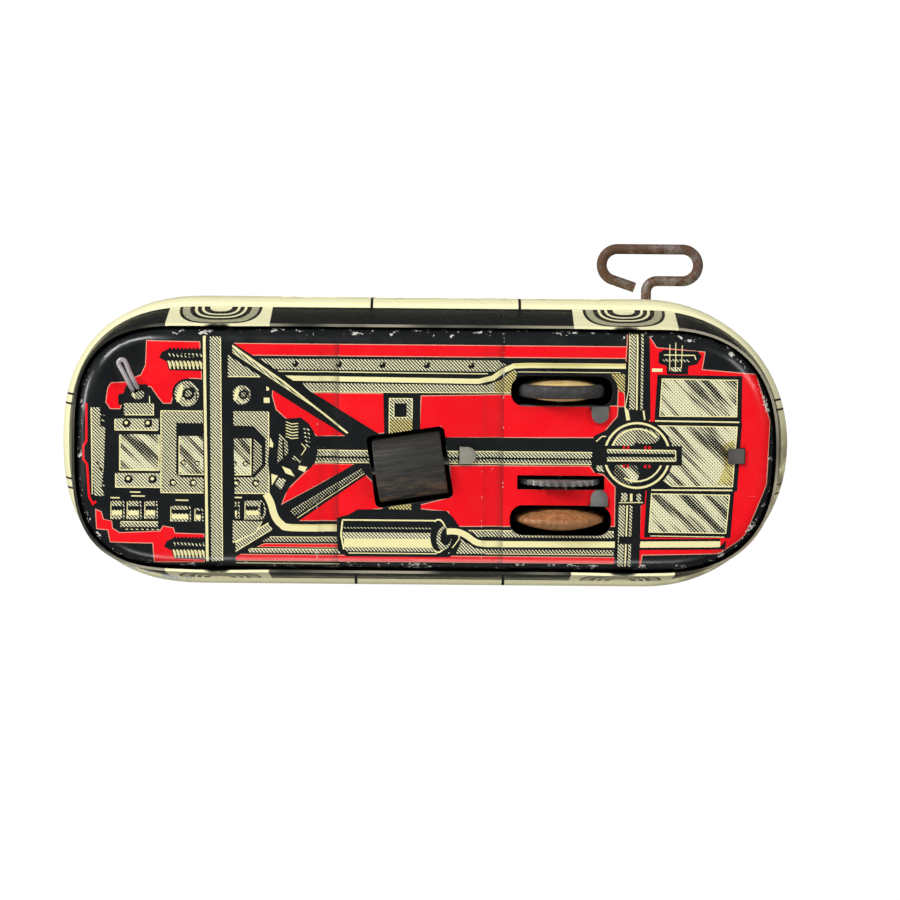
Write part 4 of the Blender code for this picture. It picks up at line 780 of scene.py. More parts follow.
def print_rear_axle(art):
    """The rear axle tube, its flanges and the round differential."""
    art.lay("black", (-31.0, 18.3), (-34.3, 18.2), (-34.6, 5.0), (-30.6, 5.0), (-30.8, 14.0))
    art.lay("grey", (-31.3, 18.1), (-32.2, 18.1), (-32.2, 6.6), (-31.3, 6.6))
    art.line("cream", 0.26, (-32.45, 18.1), (-32.45, 6.5))
    art.line("grey", 0.36, (-33.2, 18.1), (-33.2, 6.5))
    art.line("cream", 0.13, (-31.25, 18.0), (-31.15, 9.5), (-30.7, 7.0))
    art.lay("cream", (-30.5, 7.2), (-31.2, 6.4), (-31.5, 4.8), (-30.9, 4.9))
    art.line("cream", 0.26, (-33.5, 6.4), (-33.7, 5.0))
    art.lay("black", (-29.6, -5.6), (-34.0, -5.6), (-33.9, -8.0), (-33.3, -8.2), (-33.2, -18.0),
            (-29.3, -18.0),
            (-29.5, -8.2), (-29.8, -7.8))
    art.lay("grey", (-29.9, -8.2), (-30.9, -8.2), (-30.7, -17.8), (-29.8, -17.8))
    art.line("cream", 0.24, (-31.2, -8.2), (-31.0, -17.8))
    art.line("grey", 0.42, (-31.8, -8.2), (-31.6, -17.8))
    art.lay("pale", (-30.3, -6.3), (-31.2, -6.3), (-31.2, -7.6), (-30.2, -7.6))
    art.bar("cream", -31.6, -6.4, -32.0, -7.6)
    art.bar("grey", -32.6, -6.4, -33.3, -7.6)
    art.line("cream", 0.14, (-29.9, -7.8), (-33.6, -7.75))
    art.lay("black", (-30.0, -13.0), (-33.3, -13.0), (-33.3, -14.2), (-30.0, -14.2))
    art.lay("black", (-25.9, 2.4), (-28.0, 3.5), (-28.9, 2.0), (-28.6, -3.3), (-26.2, -3.3), (-25.6, -1.9))
    art.lay("pale", (-26.3, -2.1), (-27.2, -2.1), (-27.6, -3.1), (-26.5, -2.9))
    art.line("cream", 0.16, (-26.3, 1.6), (-27.2, 2.4), (-28.0, 2.4))
    art.line("cream", 0.16, (-27.0, 1.0), (-27.3, -1.8))
    x, y = -32.6, -0.5
    art.disc("black", x, y, 5.6, steps=44)
    art.disc("cream", x, y, 5.16, steps=44)
    art.disc("black", x, y, 4.82, steps=44)
    art.lay("deep", *ellipse((x - 0.9, y + 3.0), 2.6, 1.2, 22, 0.1))
    art.lay("grey", *ellipse((x + 1.9, y + 2.2), 1.5, 2.0, 22, 0.7))
    art.arc("cream", 0.26, x, y, 4.1, 4.1, range(20, 150, 13))
    art.lay("streak", *ellipse((x + 1.6, y - 2.7), 2.0, 1.7, 22, 0.3))
    art.arc("cream", 0.26, x, y, 4.0, 4.0, range(195, 300, 13))
    art.bar("black", x + 6.4, 1.0, x - 6.9, -2.0)
    art.bar("grey", x + 4.6, 0.30, x - 5.8, -0.20)
    art.bar("grey", x + 4.6, -0.75, x - 5.8, -1.30)
    art.line("cream", 0.18, (x + 4.6, 0.35), (x - 5.9, 0.30))
    art.line("cream", 0.18, (x + 4.6, -1.35), (x - 5.9, -1.30))
    art.line("cream", 0.18, (x - 5.9, 0.3), (x - 5.95, -1.3))
    for dx, dy in ((1.7, 1.15), (-1.6, 1.15), (1.7, -1.75), (-1.6, -1.75)):
        art.bar("red", x + dx + 0.5, y + dy + 0.28, x + dx - 0.5, y + dy - 0.16)
        art.disc("black", x + dx, y + dy + 0.05, 0.22, steps=8)


def print_tank(art):
    """The three panels of the tank, and its filler."""
    for corners in (
        ((-36.3, 11.3), (-47.8, 11.2), (-47.8, 4.75), (-35.9, 4.75)),
        ((-35.4, 4.1), (-47.9, 4.0), (-47.3, -5.3), (-34.9, -5.3)),
        ((-34.9, -6.1), (-46.9, -6.2), (-46.4, -12.5), (-34.6, -12.5)),
    ):
        art.lay("black", *[(px + (0.75 if k in (0, 3) else -0.75), py + (0.65 if k < 2 else -0.65))
                           for k, (px, py) in enumerate(corners)])
    art.lay("streak", (-36.3, 11.3), (-47.8, 11.2), (-47.8, 5.6), (-36.0, 5.6), edge="cream", edge_width=0.16)
    art.line("cream", 0.22, (-35.3, 4.85), (-48.2, 4.75))
    art.lay("streak", (-35.4, 4.1), (-47.9, 4.0), (-47.3, -5.2), (-38.0, -5.2), (-34.9, -3.0), edge="cream",
            edge_width=0.16)
    art.lay("gold", (-45.3, 0.8), (-47.5, 2.2), (-47.3, -5.0), (-45.0, -4.8), (-46.1, -2.0))
    art.line("cream", 0.22, (-34.9, -5.8), (-47.3, -5.75))
    art.lay("streak", (-34.9, -6.4), (-46.9, -6.5), (-46.4, -12.4), (-34.6, -12.3),
            edge="cream", edge_width=0.16)
    art.line("cream", 0.13, (-34.8, -12.9), (-46.2, -13.0))
    art.lay("black", (-35.7, 15.3), (-36.5, 15.8), (-41.7, 15.6), (-42.3, 14.8), (-41.6, 13.6), (-40.3, 13.3),
            (-40.2, 12.0), (-37.0, 12.0), (-36.9, 13.3), (-35.7, 13.7))
    art.line("cream", 0.16, (-36.5, 15.0), (-41.2, 14.95), (-41.4, 14.3))
    art.line("deep", 0.34, (-36.4, 14.2), (-40.4, 14.1))
    art.bar("pale", -37.6, 13.1, -39.2, 12.5)
    art.bar("cream", -34.7, 12.9, -36.3, 12.4)
    art.line("cream", 0.12, (-37.4, 16.6), (-37.4, 12.6))
    art.line("cream", 0.12, (-38.3, 16.9), (-38.3, 12.4))
    art.line("cream", 0.12, (-39.3, 16.5), (-39.2, 13.0))


def pan_picture():
    art = Print()
    print_red_fields(art)
    print_radiator(art)
    print_shaft_row(art)
    print_engine(art)
    print_gearbox(art)
    print_round_caps(art)
    print_side_rails(art)
    print_propeller_shaft(art)
    print_braces(art)
    print_coupling(art)
    print_centre_box(art)
    print_exhaust(art)
    print_front_member(art)
    print_tank(art)
    print_rear_axle(art)
    return art.shapes


# ---------------------------------------------------------------- mesh helpers

def new_piece(name, mesh, *materials):
    piece = bpy.data.objects.new(name, mesh)
    bpy.context.scene.collection.objects.link(piece)
    for material in materials:
        mesh.materials.append(material)
    return piece


def make_active(piece):
    if bpy.context.mode != "OBJECT":
        bpy.ops.object.mode_set(mode="OBJECT")
    bpy.ops.object.select_all(action="DESELECT")
    piece.select_set(True)
    bpy.context.view_layer.objects.active = piece


def finish_modifiers(piece):
    make_active(piece)
    for modifier in list(piece.modifiers):
        bpy.ops.object.modifier_apply(modifier=modifier.name)


def add_wall(piece, rim_material):
    """Gives a skin the tin's thickness inwards, with the second material on its inner side."""
    wall = piece.modifiers.new("wall", "SOLIDIFY")
    wall.thickness = TIN * MM
    wall.offset = -1
    wall.material_offset = 1
    wall.material_offset_rim = rim_material


def smooth(piece, degrees=35):
    make_active(piece)
    bpy.ops.object.shade_smooth_by_angle(angle=math.radians(degrees))


def settle(piece):
    """Puts the piece's place and turn into its mesh."""
    make_active(piece)
    bpy.ops.object.transform_apply(location=True, rotation=True, scale=True)


def pick_faces(piece, test):
    """Selects the faces whose centre and normal pass the test, in edit mode."""
    bpy.ops.mesh.select_mode(type="FACE")
    bpy.ops.mesh.select_all(action="DESELECT")
    shape = bmesh.from_edit_mesh(piece.data)
    for face in shape.faces:
        face.select_set(test(face.calc_center_median(), face.normal))
    bmesh.update_edit_mesh(piece.data)


def to_world(x, y, z):
    return Vector((x * MM, y * MM + CENTRE_Y, z * MM))


def signed_area(outline):
    """Twice the area, above nought where the outline runs anticlockwise."""
    return sum(a[0] * b[1] - b[0] * a[1] for a, b in zip(outline, outline[1:] + outline[:1]))


def painted_triangles(outlines, shapes, guides, holes):
    """Cuts the outlines along every shape: the corner points, and the triangles with their inks."""
    points, faces, roles = [], [], []
    layers = [(outline, "floor") for outline in outlines] + [(outline, "guide") for outline in guides]
    layers += [(outline, "hole") for outline in holes] + shapes
    for outline, role in layers:
        corners = list(range(len(points), len(points) + len(outline)))
        faces.append(corners if signed_area(outline) > 0 else corners[::-1])
        points += outline
        roles.append(role)
    found = delaunay_2d_cdt([Vector(p) for p in points], [], faces, 1, 0.004, True)
    corners, triangles, origins = found[0], found[2], found[5]
    painted = []
    for triangle, inside in zip(triangles, origins):
        names = [roles[k] for k in sorted(inside)]
        if "floor" not in names or "hole" in names:
            continue
        inks = [name for name in names if name in INKS]
        painted.append((triangle, inks[-1] if inks else "black"))
    return corners, painted


def write_inks(mesh, inks):
    """Stores each face's ink on its corners, for the printed material to read."""
    mesh.color_attributes.new("ink", "FLOAT_COLOR", "CORNER")
    mesh.attributes.new("tone", "FLOAT", "CORNER")
    mesh.attributes.new("streak", "FLOAT", "CORNER")
    colours, tones, streaks = [], [], []
    for polygon, ink in zip(mesh.polygons, inks):
        value, lines, streak = INKS[ink]
        colours += (*value, 1) * polygon.loop_total
        tones += [lines] * polygon.loop_total
        streaks += [streak] * polygon.loop_total
    mesh.attributes["ink"].data.foreach_set("color", colours)
    mesh.attributes["tone"].data.foreach_set("value", tones)
    mesh.attributes["streak"].data.foreach_set("value", streaks)


# ---------------------------------------------------------------- the pan

PAN_NOSE = PAN_HIGH.x / MM
PAN_TAIL = PAN_LOW.x / MM
PAN_HALF = (PAN_HIGH.y - PAN_LOW.y) / 2 / MM
FLOOR_Z = PAN_LOW.z / MM
EDGE_RADIUS = 2.6
RIM_HEIGHT = 2.0
ROLLER_TURN = math.radians(-8.5)
ROLLER_AXIS = Vector((math.cos(ROLLER_TURN), math.sin(ROLLER_TURN), 0))
RIB_PLACES = (-10.45, 14.85)
RIB_HALF = 1.7
RIB_END = 15.6
RIB_RUN_OUT = 1.6
RIB_HEIGHT = 0.35
PIN_SPOT = (44.55, 9.3)
# A dent is (x, y, radius, depth).
DENT = (44.3, 13.0, 6.5, 0.9)
ROLLER = (ROLLER_LOW + ROLLER_HIGH) / 2
ROLLER_SPOT = (ROLLER.x / MM, (ROLLER.y - CENTRE_Y) / MM)
AXLE_X = (AXLE_LOW.x + AXLE_HIGH.x) / 2 / MM
LEFT_WHEEL_Y = ((LEFT_LOW.y + LEFT_HIGH.y) / 2 - CENTRE_Y) / MM
RIGHT_WHEEL_Y = ((RIGHT_LOW.y + RIGHT_HIGH.y) / 2 - CENTRE_Y) / MM


def pan_openings():
    """The slots of the wheels, the gear and the tabs, the roller's opening and the split pin's hole."""
    slots = [(AXLE_X, y, 15.6, 4.7, 2.02) for y in (LEFT_WHEEL_Y, RIGHT_WHEEL_Y)]
    slots.append((AXLE_X, -4.8, 13.4, 2.2, 0.2))
    slots += [(AXLE_X - 5.9, y, 3.0, 0.7, 0.1) for y in (6.8, -8.2)]
    slots += [(-5.55, -0.7, 0.7, 3.0, 0.1), (-48.85, -0.45, 0.7, 2.6, 0.1)]
    holes = [rounded_box((x, y), length, width, radius) for x, y, length, width, radius in slots]
    holes.append(rounded_box(ROLLER_SPOT, 12.1, 11.2, 0.9, ROLLER_TURN))
    holes.append(ellipse(PIN_SPOT, 0.85, steps=20))
    return holes


def distance_inside(points, outline):
    """How far each point lies inside the outline."""
    start = np.array(outline)
    step = np.roll(start, -1, 0) - start
    found = []
    for point in points:
        share = np.clip(((point - start) * step).sum(1) / (step * step).sum(1), 0, 1)
        gap = start + step * share[:, None] - point
        found.append(math.sqrt((gap * gap).sum(1).min()))
    return found


def pan_height(x, y, inside):
    """The pan's lower skin: flat, turned up at its edge, with two cross ribs and one dent."""
    z = FLOOR_Z
    if inside < EDGE_RADIUS:
        z += EDGE_RADIUS * (1 - math.sqrt(max(0.0, 1 - (1 - inside / EDGE_RADIUS) ** 2)))
    for place in RIB_PLACES:
        across = (RIB_HALF - abs(x - place)) / (RIB_HALF / 2)
        if across > 0 and abs(y) < RIB_END:
            ends = min(1.0, (RIB_END - abs(y)) / RIB_RUN_OUT)
            share = min(1.0, across)
            z += RIB_HEIGHT * share * share * (3 - 2 * share) * ends
    away = math.hypot(x - DENT[0], y - DENT[1]) / DENT[2]
    if away < 1:
        z += DENT[3] * math.cos(away * math.pi / 2) ** 2
    return z


def pan_guides():
    """Outlines that only add edges, where the sheet is bent."""
    guides = []
    for k in range(1, 9):
        inset = EDGE_RADIUS * (1 - math.sin(math.pi / 2 * (1 - k / 9)))
        guides.append(plan_ring(PAN_NOSE - inset, PAN_TAIL + inset, PAN_HALF - inset))
    inset = EDGE_RADIUS
    guides.append(plan_ring(PAN_NOSE - inset, PAN_TAIL + inset, PAN_HALF - inset))
    for place in RIB_PLACES:
        for k in range(8):
            low, high = place - RIB_HALF + k * RIB_HALF / 4, place - RIB_HALF + (k + 1) * RIB_HALF / 4
            inner = RIB_END - RIB_RUN_OUT
            for y, top in ((-RIB_END, -inner), (-inner, inner), (inner, RIB_END)):
                guides.append([(low, y), (high, y), (high, top), (low, top)])
    for k in range(1, 8):
        guides.append(ellipse(DENT[:2], DENT[2] * k / 7, steps=28))
    return guides


def build_printed_pan(printed, bare):
    outline = plan_ring(PAN_NOSE, PAN_TAIL, PAN_HALF)
    corners, painted = painted_triangles([outline], pan_picture(), pan_guides(), pan_openings())
    inside = distance_inside([np.array(c) for c in corners], outline)
    shape = bmesh.new()
    verts = [shape.verts.new(to_world(x, y, pan_height(x, y, d))) for (x, y), d in zip(corners, inside)]
    inks = []
    for triangle, ink in painted:
        try:
            shape.faces.new([verts[k] for k in reversed(triangle)])
        except ValueError:
            continue
        inks.append(ink)
    rim = [v for v, d in zip(verts, inside) if d < 0.003]
    edges = [e for e in shape.edges if e.is_boundary and e.verts[0] in rim and e.verts[1] in rim]
    raised = bmesh.ops.extrude_edge_only(shape, edges=edges)["geom"]
    top = [v for v in raised if isinstance(v, bmesh.types.BMVert)]
    bmesh.ops.translate(shape, vec=(0, 0, RIM_HEIGHT * MM), verts=top)
    loose = [v for v in shape.verts if not v.link_faces]
    bmesh.ops.delete(shape, geom=loose, context="VERTS")
    mesh = bpy.data.meshes.new("printed_pan")
    shape.to_mesh(mesh)
    shape.free()
    write_inks(mesh, inks + ["black"] * (len(mesh.polygons) - len(inks)))
    pan = new_piece("printed_pan", mesh, printed, bare)
    add_wall(pan, 1)
    finish_modifiers(pan)
    smooth(pan, 40)
    return pan


# ---------------------------------------------------------------- the body

# Bottom to top: height, then the reach of nose, tail and sides as shares of half the length or width.
CONTOURS = [(4.2, 0.950, 0.953, 0.844), (9.0, 0.960, 0.962, 0.892), (13.5, 0.975, 0.975, 0.936),
            (14.2, 0.982, 0.982, 0.963), (16.0, 0.996, 0.996, 0.989), (18.0, 1.0, 1.0, 1.0),
            (20.0, 0.997, 0.997, 0.993), (23.0, 0.971, 0.980, 0.963), (26.0, 0.901, 0.945, 0.914),
            (28.0, 0.770, 0.910, 0.879), (29.5, 0.525, 0.875, 0.853), (30.5, 0.350, 0.857, 0.835),
            (33.0, 0.306, 0.805, 0.809), (37.0, 0.227, 0.717, 0.760), (41.0, 0.140, 0.595, 0.686),
            (44.0, 0.035, 0.437, 0.545), (45.4, -0.035, 0.350, 0.369), (46.0, -0.096, 0.271, 0.193)]
HALF_LENGTH = (BODY_HIGH.x - BODY_LOW.x) / 2 / MM
HALF_WIDTH = (BODY_HIGH.y - BODY_LOW.y) / 2 / MM
KEY_X = -34.65
KEY_HEIGHT = 20.5


def contour_at(position):
    """The body's contour at a place along the table, smoothly between its rows."""
    k = min(int(position), len(CONTOURS) - 2)
    t = position - k
    rows = [np.array(CONTOURS[min(max(j, 0), len(CONTOURS) - 1)]) for j in (k - 1, k, k + 1, k + 2)]
    straight = rows[1] * (1 - t) + rows[2] * t
    if k < 5 or k in (9, 10):
        return straight
    bent = curve_between(*rows, t)
    bent[0] = straight[0]
    return np.minimum(bent, np.maximum(rows[1], rows[2])) * 0.6 + straight * 0.4


WHEEL_PICTURES = (HALF_LENGTH - 25.25, 26.4 - HALF_LENGTH)


def skirt_lobe(x):
    found = 0.0
    for centre in WHEEL_PICTURES:
        share = abs(x - centre) / 8.5
        if share < 1:
            found = 0.8 * math.cos(share * math.pi / 2) ** 2
    return found


def build_printed_body(printed, bare):
    shape = bmesh.new()
    rows = []
    steps = 3
    for k in range((len(CONTOURS) - 1) * steps + 1):
        z, nose, tail, side = contour_at(k / steps)
        ring = plan_ring(nose * HALF_LENGTH, -tail * HALF_LENGTH, side * HALF_WIDTH, z, 40, 40)
        hang = max(0.0, 1 - (z - CONTOURS[0][0]) / 2.0)
        rows.append([shape.verts.new(to_world(x, y, z - skirt_lobe(x) * hang)) for x, y in ring])
    count = len(rows[0])
    for low, high in zip(rows, rows[1:]):
        for k in range(count):
            shape.faces.new((low[k], low[(k + 1) % count], high[(k + 1) % count], high[k]))
    shape.faces.new(rows[-1])
    mesh = bpy.data.meshes.new("printed_body")
    shape.to_mesh(mesh)
    shape.free()
    body = new_piece("printed_body", mesh, printed, bare)
    add_wall(body, 0)
    make_active(body)
    bpy.ops.mesh.primitive_cylinder_add(
        vertices=32, radius=1.3 * MM, depth=8 * MM, location=to_world(KEY_X, HALF_WIDTH, KEY_HEIGHT),
        rotation=(math.pi / 2, 0, 0))
    drill = bpy.context.object
    hole = body.modifiers.new("key_hole", "BOOLEAN")
    hole.object = drill
    hole.solver = "EXACT"
    finish_modifiers(body)
    bpy.data.objects.remove(drill)
    smooth(body, 34)
    return body


def oblong_mask(tree, u, v, centre_u, centre_v, half_u, half_v, radius, soft=0.05):
    """1 inside a rounded oblong in millimetres, and 0 outside."""
    du = minus(tree, apart(tree, u, centre_u), half_u - radius)
    dv = minus(tree, apart(tree, v, centre_v), half_v - radius)
    du, dv = calc(tree, "MAXIMUM", du, 0.0), calc(tree, "MAXIMUM", dv, 0.0)
    far = calc(tree, "SQRT", plus(tree, times(tree, du, du), times(tree, dv, dv)))
    return ramp(tree, far, radius - soft, radius + soft, 1.0, 0.0)


def ring_distance(tree, u, v, centre_u, centre_v):
    du, dv = minus(tree, u, centre_u), minus(tree, v, centre_v)
    return calc(tree, "SQRT", plus(tree, times(tree, du, du), times(tree, dv, dv)))


def band(tree, value, low, high, soft=0.04):
    """1 where the value lies between low and high."""
    return times(tree, ramp(tree, value, low - soft, low + soft),
                ramp(tree, value, high - soft, high + soft, 1.0, 0.0))


def build_body_picture():
    """The body's skirt, wheels, doors, windows, grille and lamps, and a painted highlight along the skirt's
    hem, as a colour and a line tone.
    """
    results = [("Ink", "Color"), ("Tone", "Float")]
    tree, give, take = new_group("body_picture", [("Vector", "Vector", None)], results)
    parts = node(tree, "SeparateXYZ", {"Vector": give["Vector"]}).outputs
    x = times(tree, parts[0], 1000.0)
    y = times(tree, minus(tree, parts[1], CENTRE_Y), 1000.0)
    z = times(tree, parts[2], 1000.0)
    flank = calc(tree, "ABSOLUTE", y)
    on_side = ramp(tree, flank, 12.0, 12.4)
    ink, tone = BODY_CREAM, 0.0

    def put(mask, colour, lines=0.0):
        nonlocal ink, tone
        ink = blend_colours(tree, mask, ink, colour)
        keep = times(tree, minus(tree, 1.0, mask), tone)
        tone = plus(tree, keep, times(tree, mask, lines))

    put(ramp(tree, z, 13.42, 13.52, 1.0, 0.0), BLACK)
    seam_place = minus(tree, x, ramp(tree, y, -0.1, 0.1, 2.2, 0.0))
    for seam in (-14.6, 8.5):
        cut = band(tree, seam_place, seam - 0.22, seam + 0.22)
        put(times(tree, cut, band(tree, z, 13.4, 31.2)), BLACK)
    put(times(tree, band(tree, z, 24.4, 24.9), band(tree, x, -60.0, 38.0)), BLACK)
    put(times(tree, band(tree, z, 25.4, 25.6), band(tree, x, -60.0, 38.0)), RED)
    glass = band(tree, z, 31.6, 39.2)
    put(times(tree, band(tree, z, 31.0, 39.8), band(tree, x, -48.0, 24.0)), BLACK)
    put(times(tree, glass, band(tree, x, -48.0, 24.0)), (0.30, 0.42, 0.50), 0.30)
    shine = calc(tree, "FRACT", times(tree, plus(tree, x, z), 0.085))
    put(times(tree, glass, band(tree, x, -48.0, 24.0), band(tree, shine, 0.1, 0.34)), (0.70, 0.78, 0.78))
    for pillar in (-31.6, -14.6, 3.4, 8.5):
        for half, colour in ((1.5, BLACK), (1.0, BODY_CREAM)):
            post = band(tree, x, pillar - half, pillar + half)
            put(times(tree, post, band(tree, z, 30.9, 39.9), on_side), colour)
    for handle in (-12.0, 5.8):
        edge = oblong_mask(tree, seam_place, z, handle, 22.6, 1.7, 0.4, 0.38)
        put(times(tree, edge, on_side), BLACK)
        grip = oblong_mask(tree, seam_place, z, handle, 22.7, 1.4, 0.2, 0.18)
        put(times(tree, grip, on_side), BODY_CREAM)
    skirt = ramp(tree, z, 13.35, 13.45, 1.0, 0.0)
    # Painted highlight: a thin pale line along the skirt's lower hem, in patches.
    clouds = noise(tree, spread(tree, give["Vector"], 40.0, 40.0, 40.0), 1.0, 2.0)
    worn_and_highlight = ramp(tree, clouds, 0.46, 0.60, 0.04, 0.7)
    put(times(tree, ramp(tree, z, 4.28, 4.36, 1.0, 0.0), worn_and_highlight), (0.48, 0.45, 0.33))
    for middle in WHEEL_PICTURES:
        put(times(tree, band(tree, x, middle - 8.0, middle + 8.0), skirt), BODY_CREAM)
        beside = apart(tree, x, middle)
        below = times(tree, apart(tree, z, 13.4), 0.64)
        cubes = plus(tree, calc(tree, "POWER", beside, 2.6), calc(tree, "POWER", below, 2.6))
        wheel = calc(tree, "POWER", cubes, 1 / 2.6)
        for outer, inner, colour, lines in (
            (6.4, 5.9, BLACK, 0.0), (5.9, 4.8, SCREENED, 0.48), (4.8, 4.05, BLACK, 0.0),
            (4.05, 3.65, BODY_CREAM, 0.0), (3.65, 3.0, BLACK, 0.0), (3.0, 2.6, BODY_CREAM, 0.0),
            (2.6, 1.7, BLACK, 0.0), (1.7, 0.0, BODY_CREAM, 0.0),
        ):
            ring = band(tree, wheel, inner - (0.5 if inner == 0.0 else 0.0), outer)
            put(times(tree, ring, skirt), colour, lines)
    end = ramp(tree, flank, 13.9, 14.0, 1.0, 0.0)
    nose = times(tree, ramp(tree, x, 44.0, 44.2), end)
    tail = times(tree, ramp(tree, x, -46.2, -46.0, 1.0, 0.0), end)
    at_end = ramp(tree, calc(tree, "ABSOLUTE", x), 50.0, 50.2)
    for tick in (5.9, 7.4):
        mark = times(tree, band(tree, flank, tick - 0.16, tick + 0.16), band(tree, z, 13.4, 19.0))
        put(times(tree, mark, at_end), BLACK)
    grille = times(tree, oblong_mask(tree, y, z, 0.0, 22.0, 6.2, 2.7, 1.2), nose)
    put(grille, BLACK)
    slats = band(tree, calc(tree, "FRACT", times(tree, z, 0.8)), 0.25, 0.72, 0.06)
    put(times(tree, oblong_mask(tree, y, z, 0.0, 22.0, 5.7, 2.2, 0.9), nose, slats),
        (0.60, 0.60, 0.55), 0.2)
    for end_mask, height, colour in ((nose, 22.0, (0.80, 0.80, 0.70)), (tail, 22.0, RED)):
        lamp = ring_distance(tree, flank, z, 10.2, height)
        put(times(tree, ramp(tree, lamp, 2.35, 2.45, 1.0, 0.0), end_mask), BLACK)
        put(times(tree, ramp(tree, lamp, 2.0, 2.1, 1.0, 0.0), end_mask), colour, 0.18)
        put(times(tree, ramp(tree, lamp, 0.8, 0.9, 1.0, 0.0), end_mask), BODY_CREAM)
    hood = times(tree, ramp(tree, x, 18.0, 18.2), band(tree, z, 26.0, 31.0))
    put(times(tree, band(tree, y, -0.17, 0.17), hood), BLACK)
    tree.links.new(ink, take["Ink"])
    tree.links.new(tone, take["Tone"])
    return tree


def make_body_enamel():
    made, tree, sockets, place = new_material("printed_body_enamel", **ENAMEL_GLOSS)
    picture = use_group(tree, build_body_picture(), Vector=place)
    turned = node(tree, "Mapping", {"Vector": place, "Rotation": (math.pi / 2, 0, 0)}).outputs[0]
    lines = use_group(tree, LINE_SCREEN, Vector=turned, Tone=picture["Tone"])["Mask"]
    printed = blend_colours(tree, lines, picture["Ink"], BLACK)
    wear = use_group(tree, ENAMEL_WEAR, Vector=place, Chips=body_chips(tree, place), Scratches=0.25)
    fade = times(tree, wear["Haze"], 0.02)
    faded = blend_colours(tree, fade, printed, (0.42, 0.33, 0.16))
    # Painted shade: the cream darkens to brown in patches towards the tail's lower corner, more strongly low
    # on the body.
    tail = distance_from(tree, place, to_world(-52.0, -12.0, 16.5))
    height = millimetres(tree, place)[2]
    low = ramp(tree, height, 17.5, 21.0, 0.85, 0.10)
    soil_and_painted_shade = times(tree, ramp(tree, tail, 0.009, 0.021, 0.95, 0.0),
                ramp(tree, noise(tree, place, 230.0, 4.0, 0.65), 0.34, 0.58))
    soiled_and_shaded = blend_colours(tree, times(tree, soil_and_painted_shade, low), faded, (0.20, 0.145, 0.080))
    tree.links.new(blend_colours(tree, wear["Bare"], soiled_and_shaded, (0.62, 0.63, 0.62)), sockets["Base Color"])
    tree.links.new(ramp(tree, wear["Haze"], 0.3, 0.75, 0.24, 0.40), sockets["Roughness"])
    bump(tree, wear["Height"], 0.2, 0.0004, sockets)
    return made


def body_chips(tree, place):
    """Chips gather along the skirt's step and at the nose's right corner."""
    step = band(tree, millimetres(tree, place)[2], 13.0, 14.6, 0.5)
    corner = distance_from(tree, place, to_world(46.0, -17.0, 17.0))
    near = ramp(tree, corner, 0.006, 0.020, 0.62, 0.0)
    return plus(tree, calc(tree, "MULTIPLY_ADD", step, 0.30, 0.10), near)


# ---------------------------------------------------------------- wheels, roller, key and pin

def build_turned(name, radius, low, high, centre, axis, vertices=96):
    """A cylinder from low to high along an axis, in edit mode and ready to be shaped."""
    bpy.ops.object.select_all(action="DESELECT")
    bpy.ops.mesh.primitive_cylinder_add(
        vertices=vertices, radius=radius, depth=high - low,
        location=centre + axis * (low + high) / 2,
        rotation=axis.to_track_quat("Z", "Y").to_euler())
    piece = bpy.context.object
    piece.name = name
    settle(piece)
    bpy.ops.object.mode_set(mode="EDIT")
    return piece


def ends_of(axis):
    return lambda centre, normal: abs(normal.dot(axis)) > 0.9


def shape_ends(piece, axis, steps):
    """Insets both ends again and again: each step is (inset, how far in)."""
    pick_faces(piece, ends_of(axis))
    for thickness, depth in steps:
        bpy.ops.mesh.inset(thickness=thickness * MM, depth=-depth * MM, use_individual=True)


def close_turned(piece, material, bevel=0.12, segments=3):
    bpy.ops.object.mode_set(mode="OBJECT")
    soft = piece.modifiers.new("edges", "BEVEL")
    soft.width = bevel * MM
    soft.segments = segments
    soft.limit_method = "ANGLE"
    soft.angle_limit = math.radians(28)
    finish_modifiers(piece)
    piece.data.materials.clear()
    piece.data.materials.append(material)
    smooth(piece, 35)
    return piece


def build_rolled(name, profile, centre_y, material, steps=112):
    """A ring turned about the wheel axis from a profile of (across, radius) points, in millimetres."""
    bpy.ops.object.select_all(action="DESELECT")
    centre = Vector(((AXLE_LOW.x + AXLE_HIGH.x) / 2, 0, (AXLE_LOW.z + AXLE_HIGH.z) / 2))
    bpy.ops.mesh.primitive_circle_add(vertices=len(profile), radius=MM, fill_type="NOTHING")
    ring = bpy.context.object
    ring.name = name
    for vert, (across, radius) in zip(ring.data.vertices, profile):
        vert.co = (centre.x, centre_y + across * MM, centre.z + radius * MM)
    bpy.ops.object.mode_set(mode="EDIT")
    bpy.ops.mesh.select_all(action="SELECT")
    bpy.ops.mesh.spin(steps=steps, angle=math.tau, center=centre, axis=(0, 1, 0))
    bpy.ops.mesh.select_all(action="SELECT")
    bpy.ops.mesh.remove_doubles(threshold=0.000005)
    bpy.ops.mesh.normals_make_consistent(inside=False)
    bpy.ops.object.mode_set(mode="OBJECT")
    ring.data.materials.append(material)
    smooth(ring, 50)
    return ring


def lens_profile(half, tread, radius, groove=0.0):
    """A turned wheel's section, thick at its boss and thin at its tread, as (across, radius) points."""
    boss = 2.3
    found = [(half * 0.92, 1.0), (half, 1.25), (half, boss)]
    for k in range(1, 15):
        share = k / 14
        reach = boss + (radius - 0.25 - boss) * share
        across = tread + (half - tread) * (1 - share ** 1.9)
        if groove and k in (6, 7):
            across -= groove
        found.append((across, reach))
    found += [(tread * 0.8, radius - 0.06), (tread * 0.45, radius)]
    return found + [(-across, reach) for across, reach in reversed(found)]


def build_lens_wheel(name, low, high, tread, groove, material):
    radius, half = (high.z - low.z) / 2 / MM, (high.y - low.y) / 2 / MM
    return build_rolled(name, lens_profile(half, tread, radius, groove), (low.y + high.y) / 2, material)


